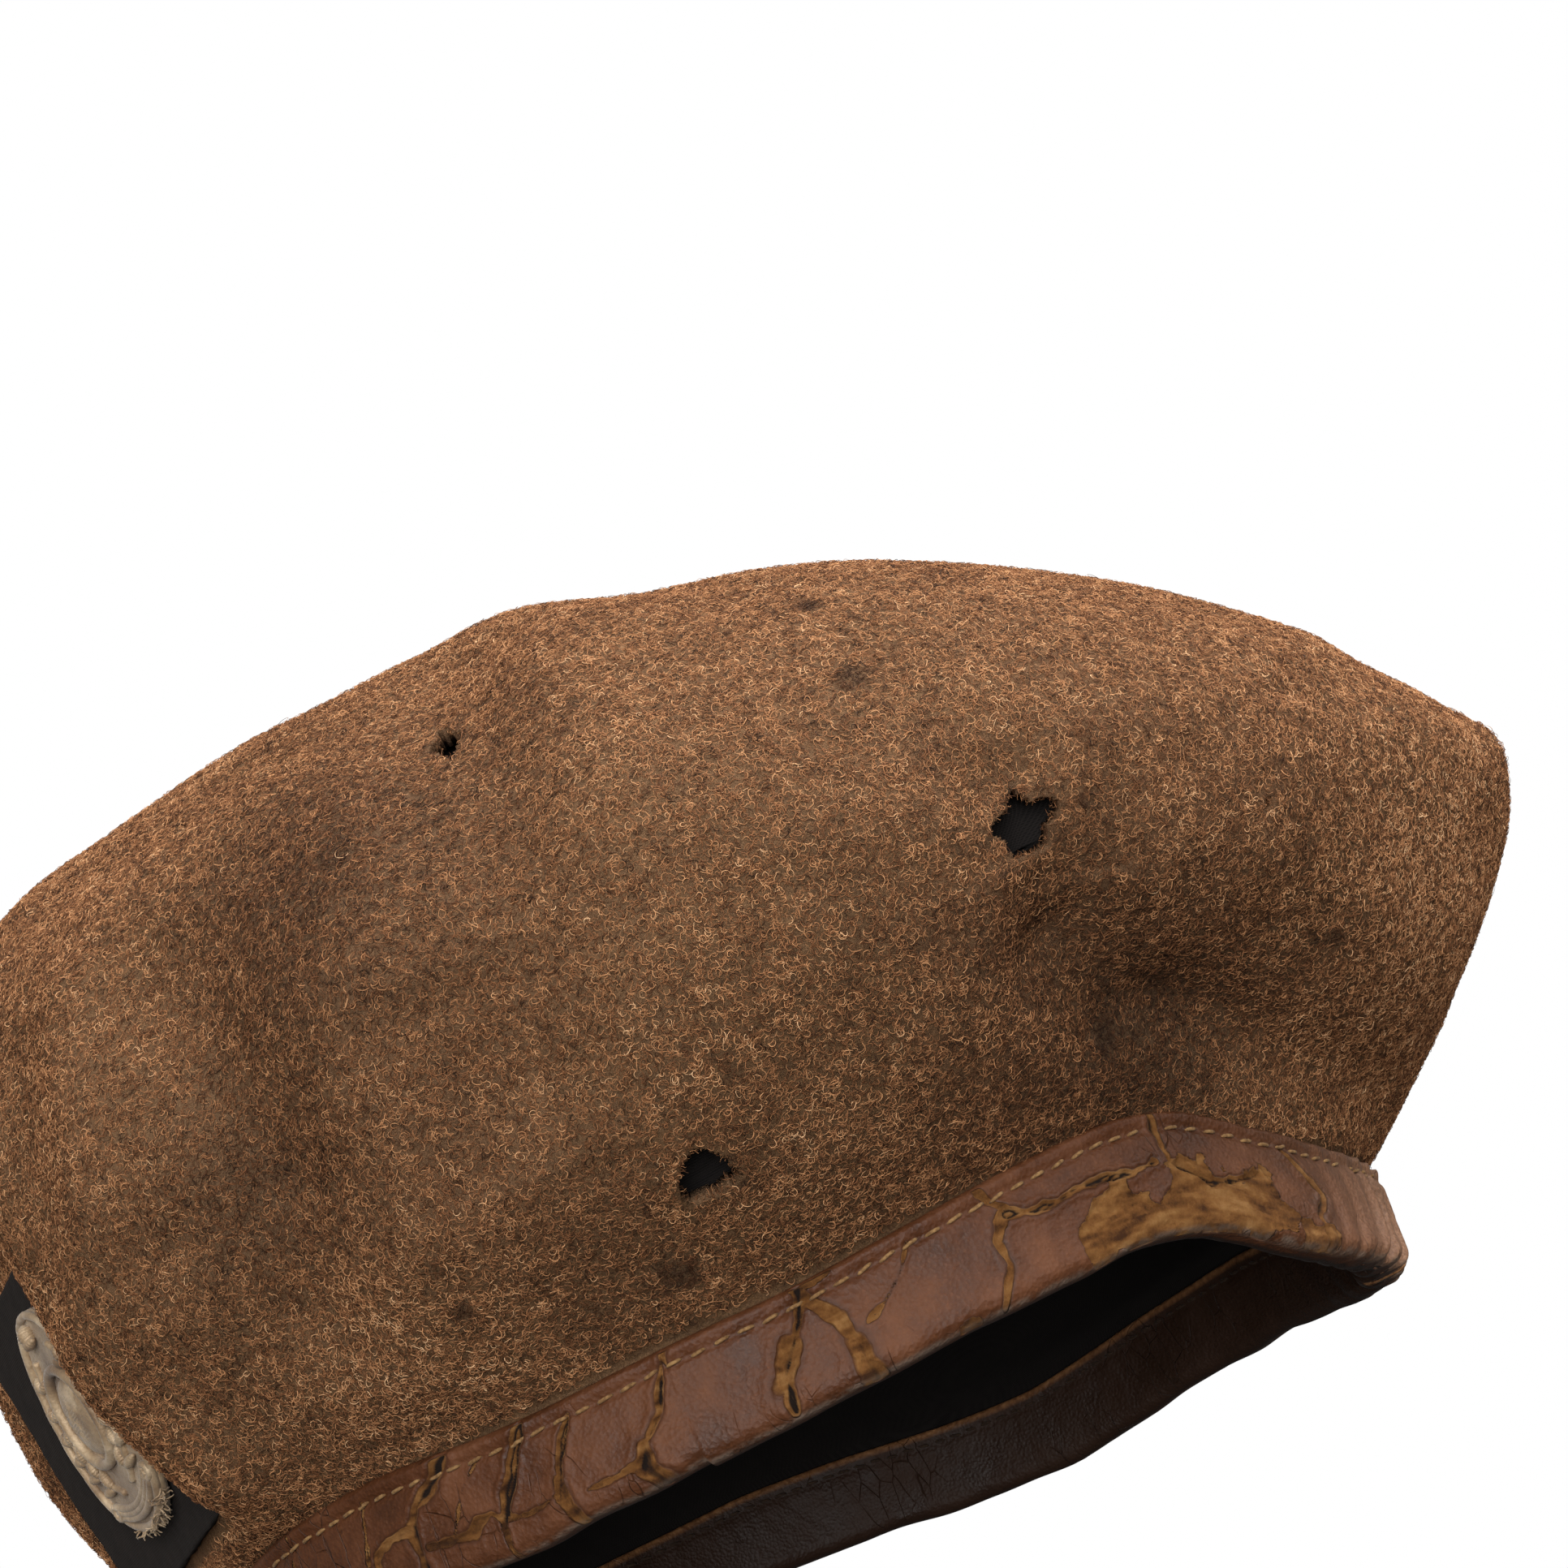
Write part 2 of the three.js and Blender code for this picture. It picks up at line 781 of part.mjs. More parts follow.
const cap = new THREE.Group();
cap.add(
  piece('felt_body', feltBody(), woolFelt),
  piece('lining_crown', liningCrown(), liningCloth),
  piece('lining_side', liningSide(), liningCloth),
  piece('badge_stiffener', badgeStiffener(), fibreBoard),
  bandPieces(),
  tailPieces(),
  eyeletPieces(),
  badgePieces(),
);

// Put the middle of the footprint on the origin.
const footprint = new THREE.Box3().setFromObject(cap, true);
cap.position.set(
  -(footprint.min.x + footprint.max.x) / 2,
  -(footprint.min.y + footprint.max.y) / 2,
  0,
);

const beret = new THREE.Group();
beret.add(cap);

export default beret;
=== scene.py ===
# Looks for a large-crowned felt beret with a leather-bound headband.
#
# Shapes are worked out in millimetres about the middle of the headband, with -Y the way the
# wearer faces and +X the wearer's left, and are put into the frame, in metres, as each piece
# is made. Angles go round the cap from the wearer's left: 90 is the back and 270 the front.
# Rise runs up the crown from -1 at the felt's hidden edge, through 0 where it leaves the
# headband and 1 at the rim, to 2 at the crown's top.

import math

import bmesh
import bpy
import numpy as np
from mathutils import Matrix, Vector


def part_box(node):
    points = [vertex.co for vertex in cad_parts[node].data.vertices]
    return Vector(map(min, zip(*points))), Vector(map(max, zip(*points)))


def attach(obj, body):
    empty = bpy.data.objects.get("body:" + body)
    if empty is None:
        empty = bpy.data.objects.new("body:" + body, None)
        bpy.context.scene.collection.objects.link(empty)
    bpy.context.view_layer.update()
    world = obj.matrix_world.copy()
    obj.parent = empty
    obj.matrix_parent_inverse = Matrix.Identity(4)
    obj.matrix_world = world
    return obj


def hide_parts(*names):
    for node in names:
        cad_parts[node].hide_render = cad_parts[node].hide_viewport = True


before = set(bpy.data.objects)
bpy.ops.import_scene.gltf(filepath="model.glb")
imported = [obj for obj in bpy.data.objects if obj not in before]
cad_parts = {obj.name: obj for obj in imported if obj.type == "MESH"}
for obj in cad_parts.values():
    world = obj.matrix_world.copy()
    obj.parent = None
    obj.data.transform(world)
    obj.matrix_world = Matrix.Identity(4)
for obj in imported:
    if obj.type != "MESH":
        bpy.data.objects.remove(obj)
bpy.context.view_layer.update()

MM = 0.001
binding_low, binding_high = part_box("leather_binding")
BAND_MIDDLE = np.array([
    (binding_low.x + binding_high.x) / 2 / MM,
    (binding_low.y + binding_high.y) / 2 / MM,
    0.0,
])

# ---------------------------------------------------------------------------------------
# Driving dimensions, in millimetres and degrees
# ---------------------------------------------------------------------------------------

HALF_LENGTH = 93.0
HALF_WIDTH = 90.0
BAND_HEIGHT = 15.0
FELT_THICKNESS = 2.5
FELT_EDGE = 4.6
FLARE_START = 15.6

RIM_OVERHANG = {"left": 32, "back": 47, "right": 35, "front": 24}
RIM_HEIGHT = {"left": 58, "back": 52, "right": 55, "front": 84}
FLARE_LIFT = {"left": 0.45, "back": 0.76, "right": 0.75, "front": 0.35}
SHOULDER = {"left": 1.95, "back": 1.5, "right": 2.1, "front": 2.6}
CROWN_TOP = np.array([1.0, -19.0, 140.0])

PANEL_MIDDLE = np.array([60.5, -82.7, 47.0])
PANEL_TURN = 39
PANEL_LEAN = 13
# The felt bulges into a soft ridge along the rear edge of the stiffened panel.
RIDGE_ASIDE = 27.0
RIDGE_WIDTH = 8.0
RIDGE_HEIGHT = 6.0

LINING_DEPTH_IN_BAND = 2.8
LINING_DEPTH_IN_CROWN = 3.9
LINING_THICKNESS = 0.6

BACK_OPENING = 6.8
LEATHER = 1.3
LEATHER_OUT = 1.6
LEATHER_IN = -5.0

# The worn crown's soft folds: a path of (angle, rise), a half width, and how far it sinks
# in (negative) or stands out (positive).
FOLDS = [
    # a soft ridge down the wearer's left side, with a hollow before it
    ([(13, 1.56), (9, 1.38), (7, 1.17), (6, 1.0), (5, 0.73), (4.5, 0.5)], 12, 2.6),
    ([(4, 1.45), (1, 1.3), (359.5, 1.1), (357, 0.8)], 13, -3.0),
    # the hollow that runs down behind it and turns along under the overhanging back
    ([(27.5, 0.9), (28.5, 0.68), (30, 0.52)], 8, -2.8),
    ([(31, 0.42), (38, 0.24), (51, 0.12), (66, 0.06), (80, 0.04)], 8, -5.5),
    ([(40, 0.62), (50, 0.45), (62, 0.38), (74, 0.34)], 12, 3.0),
    # the upright dent beside the badge, between two soft ridges
    ([(338, 1.15), (340, 0.95), (340, 0.7), (337.5, 0.45)], 11, -5.5),
    ([(353, 1.2), (350, 1.0), (347.5, 0.75), (345, 0.45), (341, 0.28)], 13, 2.4),
    ([(329, 1.2), (327, 0.9), (322, 0.65), (319, 0.5), (316, 0.36), (314, 0.2)], 7, 3.0),
    # slack over the top of the crown
    ([(24, 1.36), (23, 1.46), (24, 1.56)], 8, -1.2),
    ([(358, 1.5), (2, 1.62), (8, 1.7)], 9, 0.6),
    ([(325, 1.43), (333, 1.45)], 12, -1.6),
    ([(305, 1.4), (314, 1.43)], 16, 2.5),
    ([(47, 1.25), (58, 1.12)], 14, -1.4),
    ([(30, 1.55), (55, 1.5), (80, 1.4)], 14, -1.8),
    ([(150, 1.5), (190, 1.4), (220, 1.5)], 20, -3.0),
    ([(185, 0.9), (205, 0.75), (225, 0.8)], 12, -2.6),
    ([(120, 0.95), (140, 0.8), (150, 0.5)], 11, -2.4),
    ([(250, 1.3), (275, 1.25), (292, 1.3)], 16, -2.0),
]

MOTH_HOLES = [
    {"angle": 28.1, "rise": 0.775, "radius": 3.9, "lobes": 5, "seed": 1},
    {"angle": 5.4, "rise": 0.33, "radius": 3.9, "lobes": 3, "seed": 6},
    {"angle": 0.7, "rise": 1.33, "radius": 1.9, "lobes": 4, "seed": 3, "tall": 2.3},
    {"angle": 44.5, "rise": 0.69, "radius": 0.7, "lobes": 3, "seed": 4},
]

# Small dark stains on the felt: angle, rise and size.
STAINS = [(26, 1.29, 2.2), (23, 1.15, 2.6), (38, 0.17, 2.4), (2.5, 0.14, 3.0),
          (54.5, 0.35, 1.8), (348, 0.3, 1.6), (150, 0.8, 2.4), (210, 1.3, 2.2)]

# Broad patches of painted shade and painted light on the felt: darker in its hollows and under the
# overhanging crown, lighter on its ridges.
# Angle, rise, size, and how much darker (negative) or lighter the wool is painted.
SHADE_AND_LIGHT_PATCHES = [(350, 1.2, 25, -0.19), (338, 0.68, 15, -0.17), (29.5, 0.5, 14, -0.10),
         (44, 0.14, 17, -0.24), (28, 0.12, 14, -0.08), (355, 0.2, 13, -0.04),
         (66, 0.5, 22, 0.12), (342, 0.28, 15, 0.12)]


# ---------------------------------------------------------------------------------------
# Numbers that vary smoothly
# ---------------------------------------------------------------------------------------

def smoothstep(x, low, high):
    t = np.clip((x - low) / (high - low), 0, 1)
    return t * t * (3 - 2 * t)


def lattice(ix, iy, iz, seed):
    """A fixed pseudo-random value from -1 to 1 for each whole-number point."""
    h = (ix * 73856093) ^ (iy * 19349663) ^ (iz * 83492791) ^ (seed * 2654435761)
    h = ((h & 0xFFFFFFFF) ^ ((h & 0xFFFFFFFF) >> 13)) * 1274126177 & 0xFFFFFFFF
    h = (h ^ (h >> 16)) * 1246822519 & 0xFFFFFFFF
    return ((h ^ (h >> 15)) & 0xFFFFFF) / float(0x7FFFFF) - 1


def noise(points, cell, seed=0):
    """Smooth noise from -1 to 1 with features about one cell across."""
    q = np.asarray(points, float) / cell + 1000.0
    whole = np.floor(q).astype(np.int64)
    part = q - whole
    part = part * part * (3 - 2 * part)
    total = np.zeros(q.shape[:-1])
    for dx in (0, 1):
        wx = part[..., 0] if dx else 1 - part[..., 0]
        for dy in (0, 1):
            wy = part[..., 1] if dy else 1 - part[..., 1]
            for dz in (0, 1):
                wz = part[..., 2] if dz else 1 - part[..., 2]
                corner = lattice(whole[..., 0] + dx, whole[..., 1] + dy,
                                 whole[..., 2] + dz, seed)
                total += wx * wy * wz * corner
    return total


def rough_noise(points, cell, octaves, seed=0):
    total = 0.0
    weight = 1.0
    for k in range(octaves):
        total = total + weight * noise(points, cell / 2 ** k, seed + 17 * k)
        weight *= 0.5
    return total


def normalise(v):
    return v / np.maximum(np.linalg.norm(v, axis=-1, keepdims=True), 1e-12)


# ---------------------------------------------------------------------------------------
# The crown's surface
# ---------------------------------------------------------------------------------------

def by_side(angle, side):
    c, s = np.cos(angle), np.sin(angle)
    across = np.where(c > 0, side["left"], side["right"])
    along = np.where(s > 0, side["back"], side["front"])
    return across * c * c + along * s * s


def wall_point(angle, height):
    return np.stack([HALF_WIDTH * np.cos(angle), HALF_LENGTH * np.sin(angle),
                     np.broadcast_to(height, np.shape(angle)).astype(float)], -1)


def wall_normal(angle):
    return normalise(np.stack([HALF_LENGTH * np.cos(angle), HALF_WIDTH * np.sin(angle),
                               np.zeros_like(angle)], -1))


def plain_crown(angle, rise):
    """The crown before its folds, as the CAD has it."""
    angle, rise = np.broadcast_arrays(np.asarray(angle, float), np.asarray(rise, float))
    long_add = (RIM_OVERHANG["front"] + RIM_OVERHANG["back"]) / 2
    wide_add = (RIM_OVERHANG["left"] + RIM_OVERHANG["right"]) / 2
    rim = np.stack([
        (RIM_OVERHANG["left"] - RIM_OVERHANG["right"]) / 2
        + (HALF_WIDTH + wide_add) * np.cos(angle),
        (RIM_OVERHANG["back"] - RIM_OVERHANG["front"]) / 2
        + (HALF_LENGTH + long_add) * np.sin(angle),
        by_side(angle, RIM_HEIGHT),
    ], -1)
    wall = wall_point(angle, FLARE_START + np.clip(-rise, 0, 1) * (FELT_EDGE - FLARE_START))
    start = wall_point(angle, FLARE_START)
    pull = rim.copy()
    pull[..., 2] = FLARE_START + by_side(angle, FLARE_LIFT) * (rim[..., 2] - FLARE_START)
    q = np.clip(rise, 0, 1)[..., None]
    flare = (1 - q) ** 2 * start + 2 * q * (1 - q) * pull + q * q * rim
    power = 2 / by_side(angle, SHOULDER)
    turn = np.clip(rise - 1, 0, 1) * math.pi / 2
    outward = np.maximum(np.cos(turn), 0) ** power
    upward = np.sin(turn) ** power
    dome = np.stack([
        CROWN_TOP[0] + (rim[..., 0] - CROWN_TOP[0]) * outward,
        CROWN_TOP[1] + (rim[..., 1] - CROWN_TOP[1]) * outward,
        rim[..., 2] + (CROWN_TOP[2] - rim[..., 2]) * upward,
    ], -1)
    low = (rise <= 0)[..., None]
    middle = (rise <= 1)[..., None]
    return np.where(low, wall, np.where(middle, flare, dome))


def panel_axes():
    turn, lean = math.radians(PANEL_TURN), math.radians(PANEL_LEAN)
    outward = np.array([math.sin(turn) * math.cos(lean), -math.cos(turn) * math.cos(lean),
                        -math.sin(lean)])
    sideways = np.array([math.cos(turn), math.sin(turn), 0.0])
    return sideways, np.cross(outward, sideways), outward


PANEL_SIDEWAYS, PANEL_UPWARD, PANEL_OUTWARD = panel_axes()


def press_to_panel(points):
    """Flattens the crown where the stiffener stands behind the badge."""
    offset = points - PANEL_MIDDLE
    across = offset @ PANEL_SIDEWAYS
    up = np.abs(offset @ PANEL_UPWARD)
    proud = offset @ PANEL_OUTWARD
    hold = ((1 - smoothstep(across, 21, 31)) * (1 - smoothstep(-across, 24, 44))
            * (1 - smoothstep(up, 26, 42))
            * smoothstep(points[..., 2], FLARE_START, FLARE_START + 4)
            * (np.abs(proud) < 30))
    return points - (proud * hold)[..., None] * PANEL_OUTWARD


def distance_to_path(points, path):
    """The least distance from each point to a run of straight stretches."""
    best = np.full(points.shape[:-1], 1e9)
    for a, b in zip(path[:-1], path[1:]):
        along = b - a
        t = np.clip(((points - a) @ along) / (along @ along), 0, 1)
        gap = points - (a + t[..., None] * along)
        best = np.minimum(best, np.linalg.norm(gap, axis=-1))
    return best


def crown_path(pairs):
    """Points along a path of (angle, rise), close enough together to follow the crown."""
    pairs = np.array(pairs, float)
    for k in range(1, len(pairs)):
        while pairs[k, 0] - pairs[k - 1, 0] > 180:
            pairs[k, 0] -= 360
    knots = np.linspace(0, len(pairs) - 1, 6 * (len(pairs) - 1) + 1)
    angle = np.interp(knots, np.arange(len(pairs)), pairs[:, 0])
    rise = np.interp(knots, np.arange(len(pairs)), pairs[:, 1])
    return plain_crown(np.radians(angle), rise)


# How far the worn band stands off its plane, in millimetres, at angles round it.
BAND_SAG = [(0, 0), (10, -0.4), (20, 0.8), (30, 2.0), (42, 3.2), (47, 2.4), (52, -0.5), (56, -3.2),
            (62, -5.6), (72, -7.4), (85, -7.9), (103, -7.0), (115, -5.4), (130, -2.8),
            (147, -2.8), (165, -4.8), (176, -3.2), (190, 0.0), (202, 1.2), (220, -0.5),
            (240, -3.6), (265, -4.2), (285, -1.2), (303, 3.2), (318, 3.8), (332, 2.6),
            (345, 0.2)]


def smooth_round(table, width):
    """A periodic curve through (degrees, value) pairs, softened over a width in degrees."""
    degrees = np.arange(720) / 2
    angles, values = np.array(table, float).T
    curve = np.interp(degrees, angles, values, period=360)
    reach = np.arange(-60, 61) / 2
    weight = np.exp(-(reach / width) ** 2)
    weight /= weight.sum()
    wrapped = np.concatenate([curve[-60:], curve, curve[:60]])
    return degrees, np.convolve(wrapped, weight, "valid")


SAG_DEGREES, SAG_CURVE = smooth_round(BAND_SAG, 3.0)


def band_sag(angle):
    return np.interp(np.degrees(angle), SAG_DEGREES, SAG_CURVE, period=360)


def sag(points, angle):
    """Carries the band's sag into whatever is near it, fading out up the crown."""
    moved = points.copy()
    fade = 1 - smoothstep(points[..., 2], BAND_HEIGHT, 55)
    moved[..., 2] += band_sag(angle) * fade
    back = np.exp(-((np.degrees(angle) - 88 + 180) % 360 - 180) ** 2 / 26.0 ** 2)
    moved[..., 1] -= 2.5 * back * fade
    return moved


class Sheet:
    """The felt's outer face as a fine grid over angle and rise, closed round the cap."""

    def __init__(self, columns, rises):
        self.columns = columns
        self.rises = np.asarray(rises, float)
        self.angles = np.arange(columns) * 2 * math.pi / columns
        grid_angle = self.angles[:, None]
        self.points = plain_crown(grid_angle, self.rises[None, :])
        self.refresh()

    def refresh(self):
        around = np.roll(self.points, -1, 0) - np.roll(self.points, 1, 0)
        up = np.gradient(self.points, axis=1)
        self.normals = normalise(np.cross(around, up))
        self.normals[:, -1] = (0, 0, 1)

    def sample(self, angle, rise, what="points"):
        """Reads the grid between its columns and rows."""
        grid = getattr(self, what)
        x = (np.asarray(angle, float) / (2 * math.pi) * self.columns) % self.columns
        y = np.interp(rise, self.rises, np.arange(len(self.rises)))
        x, y = np.broadcast_arrays(x, y)
        i, j = np.floor(x).astype(int), np.minimum(np.floor(y).astype(int),
                                                   len(self.rises) - 2)
        u, v = (x - i)[..., None], (y - j)[..., None]
        i, k = i % self.columns, (i + 1) % self.columns
        low = grid[i, j] * (1 - u) + grid[k, j] * u
        high = grid[i, j + 1] * (1 - u) + grid[k, j + 1] * u
        return low * (1 - v) + high * v


def crown_rises(wall_rows, flare_rows, dome_rows):
    wall = np.linspace(-1, 0, wall_rows, endpoint=False)
    flare = np.linspace(0, 1, flare_rows, endpoint=False)
    dome = np.linspace(1, 2, dome_rows + 1)
    return np.concatenate([wall, flare, dome])


def fold_crown(sheet):
    """Sinks and raises the folds, flattens the badge panel and adds the band's sag."""
    clear = smoothstep(sheet.points[..., 2], FLARE_START, 26)
    shift = np.zeros(sheet.points.shape[:2])
    for pairs, width, depth in FOLDS:
        reach = distance_to_path(sheet.points, crown_path(pairs)) / width
        shift += depth * np.exp(-reach ** 2)
    shift += 0.9 * rough_noise(sheet.points, 42, 2, seed=5)
    shift += 0.22 * rough_noise(sheet.points, 11, 2, seed=9)
    sheet.points = sheet.points + (shift * clear)[..., None] * sheet.normals
    sheet.points = press_to_panel(sheet.points)
    sheet.refresh()
    ridge_line = np.array([PANEL_MIDDLE + RIDGE_ASIDE * PANEL_SIDEWAYS + up * PANEL_UPWARD
                           for up in (-30.0, 32.0)])
    reach = distance_to_path(sheet.points, ridge_line) / RIDGE_WIDTH
    along = (sheet.points - PANEL_MIDDLE) @ PANEL_UPWARD
    proud = RIDGE_HEIGHT * np.exp(-reach ** 2) * clear * (0.72 + 0.28 * smoothstep(along, -24, 4))
    sheet.points = sheet.points + proud[..., None] * sheet.normals
    sheet.points = sag(sheet.points, sheet.angles[:, None])
    sheet.refresh()


# ---------------------------------------------------------------------------------------
# Mesh helpers
# ---------------------------------------------------------------------------------------

def to_frame(points):
    """Band millimetres to frame metres."""
    return (np.asarray(points, float) + BAND_MIDDLE) * MM


def new_mesh(name, points, faces, smooth=True):
    mesh = bpy.data.meshes.new(name)
    mesh.from_pydata(to_frame(points).reshape(-1, 3).tolist(), [], faces)
    mesh.validate()
    mesh.update()
    piece = bpy.data.objects.new(name, mesh)
    bpy.context.scene.collection.objects.link(piece)
    if smooth:
        mesh.polygons.foreach_set("use_smooth", [True] * len(mesh.polygons))
    return piece


def grid_faces(columns, rows, closed_across=False, closed_up=False, start=0):
    """Quads over a grid of columns by rows, stored column after column."""
    faces = []
    for i in range(columns if closed_across else columns - 1):
        here, there = i * rows, ((i + 1) % columns) * rows
        for j in range(rows if closed_up else rows - 1):
            up = (j + 1) % rows
            faces.append((start + here + j, start + there + j,
                          start + there + up, start + here + up))
    return faces


def apply_modifier(piece, kind, **settings):
    modifier = piece.modifiers.new(kind.lower(), kind)
    for key, value in settings.items():
        setattr(modifier, key, value)
    with bpy.context.temp_override(object=piece, active_object=piece,
                                   selected_objects=[piece]):
        bpy.ops.object.modifier_apply(modifier=modifier.name)


def set_attribute(piece, name, values):
    layer = piece.data.attributes.new(name, "FLOAT", "POINT")
    layer.data.foreach_set("value", np.asarray(values, np.float32).ravel())


def piece_points(piece):
    """A piece's vertices in band millimetres."""
    co = np.zeros(len(piece.data.vertices) * 3, np.float32)
    piece.data.vertices.foreach_get("co", co)
    return co.reshape(-1, 3).astype(float) / MM - BAND_MIDDLE


def finish_piece(piece, body, slot, material, *nodes):
    piece.data.materials.clear()
    piece.data.materials.append(material)
    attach(piece, body)
    if nodes:
        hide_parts(*nodes)
    return piece


def outward_faces(piece):
    """Turns a closed piece's faces outwards."""
    mesh = bmesh.new()
    mesh.from_mesh(piece.data)
    bmesh.ops.recalc_face_normals(mesh, faces=mesh.faces)
    mesh.to_mesh(piece.data)
    mesh.free()
    return piece


def tube_rings(path, radius, sides, ups=None, twist=None):
    """Rings of points round a path; radius is a number or one value per ring and side."""
    path = np.asarray(path, float)
    tangent = normalise(np.gradient(path, axis=0))
    if ups is None:
        ups = np.tile([0.0, 0.0, 1.0], (len(path), 1))
        flat = np.abs(tangent[:, 2]) > 0.9
        ups[flat] = (0.0, 1.0, 0.0)
    side = normalise(np.cross(tangent, ups))
    up = np.cross(side, tangent)
    turn = np.arange(sides) * 2 * math.pi / sides
    turn = turn[None, :] + (0 if twist is None else twist[:, None])
    radius = np.broadcast_to(np.asarray(radius, float), (len(path), sides)) \
        if np.ndim(radius) != 1 else np.repeat(np.asarray(radius)[:, None], sides, 1)
    return (path[:, None] + radius[..., None]
            * (np.cos(turn)[..., None] * side[:, None] + np.sin(turn)[..., None] * up[:, None]))


def add_tube(points, faces, rings):
    """Appends a closed tube with pointed ends to lists of points and faces."""
    start = len(points)
    count, sides = rings.shape[:2]
    points.extend(rings.reshape(-1, 3).tolist())
    points.append(rings[0].mean(0).tolist())
    points.append(rings[-1].mean(0).tolist())
    for i in range(count - 1):
        for k in range(sides):
            m = (k + 1) % sides
            a, b = start + i * sides, start + (i + 1) * sides
            faces.append((a + k, a + m, b + m, b + k))
    first, last = start + count * sides, start + count * sides + 1
    end = start + (count - 1) * sides
    for k in range(sides):
        m = (k + 1) % sides
        faces.append((first, start + m, start + k))
        faces.append((last, end + k, end + m))


# ---------------------------------------------------------------------------------------
# Cloth simulation
# ---------------------------------------------------------------------------------------

def simulate(name, points, pin, frames, **settings):
    """Runs Blender's cloth on a grid closed round the cap, whose last row is one point at
    the top, and returns the grid where it settled. Pinned points, with pin 1, stay put."""
    columns, rows = points.shape[:2]
    flat = np.concatenate([points[:, :-1].reshape(-1, 3), points[:1, -1]])
    faces = grid_faces(columns, rows - 1, closed_across=True)
    top = columns * (rows - 1)
    for i in range(columns):
        faces.append((i * (rows - 1) + rows - 2, ((i + 1) % columns) * (rows - 1) + rows - 2,
                      top))
    cloth = new_mesh(name, flat, faces)
    group = cloth.vertex_groups.new(name="pin")
    weights = np.concatenate([pin[:, :-1].ravel(), [pin[0, -1]]])
    for level in np.unique(np.round(weights, 2)):
        members = np.nonzero(np.round(weights, 2) == level)[0]
        group.add(members.tolist(), float(level), "REPLACE")
    modifier = cloth.modifiers.new("cloth", "CLOTH")
    cloth_settings = modifier.settings
    cloth_settings.vertex_group_mass = "pin"
    for key, value in settings.items():
        setattr(cloth_settings, key, value)
    modifier.point_cache.frame_end = frames
    for step in range(1, frames + 1):
        bpy.context.scene.frame_set(step)
    settled = cloth.evaluated_get(bpy.context.evaluated_depsgraph_get())
    co = np.zeros(len(flat) * 3, np.float32)
    settled.data.vertices.foreach_get("co", co)
    co = co.reshape(-1, 3).astype(float) / MM - BAND_MIDDLE
    bpy.data.objects.remove(cloth)
    bpy.context.scene.frame_set(1)
    result = points.copy()
    result[:, :-1] = co[:-1].reshape(columns, rows - 1, 3)
    result[:, -1] = co[-1]
    return result


def capped(shift, limit):
    length = np.linalg.norm(shift, axis=-1, keepdims=True)
    return shift * np.minimum(1, limit / np.maximum(length, 1e-9))


DRAPE_LIMIT = 1.2
DRAPE_COLUMNS = 96
DRAPE_FRAMES = 14
SOFTENING_PASSES = 40
FELT_CLOTH = {"quality": 6, "mass": 0.25, "tension_stiffness": 40,
              "compression_stiffness": 40, "shear_stiffness": 15,
              "bending_stiffness": 30, "air_damping": 4}


def drape_crown(sheet, limit=DRAPE_LIMIT):
    """Adds the fine part of how the felt settles as cloth, and leaves out its broad sag."""
    columns = DRAPE_COLUMNS
    rises = crown_rises(2, 18, 26)
    angles = np.arange(columns)[:, None] * 2 * math.pi / columns
    coarse = sheet.sample(angles, rises[None, :])
    near_band = 1 - smoothstep(rises, 0.05, 0.35)
    to_panel = np.linalg.norm(coarse - PANEL_MIDDLE, axis=-1)
    on_panel = 1 - smoothstep(to_panel, 30, 46)
    pin = np.maximum(np.broadcast_to(near_band, coarse.shape[:2]), on_panel)
    settled = simulate("crown_cloth", coarse, pin, DRAPE_FRAMES, **FELT_CLOTH)
    shift = settled - coarse
    broad = shift.copy()
    for _ in range(SOFTENING_PASSES):
        broad = (broad + np.roll(broad, 1, 0) + np.roll(broad, -1, 0)) / 3
        padded = np.concatenate([broad[:, :1], broad, broad[:, -1:]], 1)
        broad = (padded[:, :-2] + broad + padded[:, 2:]) / 3
    loose = smoothstep(rises, 0.15, 0.7)[None, :, None]
    shift = capped(shift - broad, limit) * loose
    carrier = Sheet(columns, rises)
    carrier.shift = shift
    fine = carrier.sample(sheet.angles[:, None], sheet.rises[None, :], "shift")
    sheet.points = sheet.points + fine
    sheet.refresh()


# ---------------------------------------------------------------------------------------
# Materials
# ---------------------------------------------------------------------------------------

def opaque(colour):
    """A plain colour with its alpha added; a node's socket is left as it is."""
    return (*colour, 1) if isinstance(colour, tuple) else colour


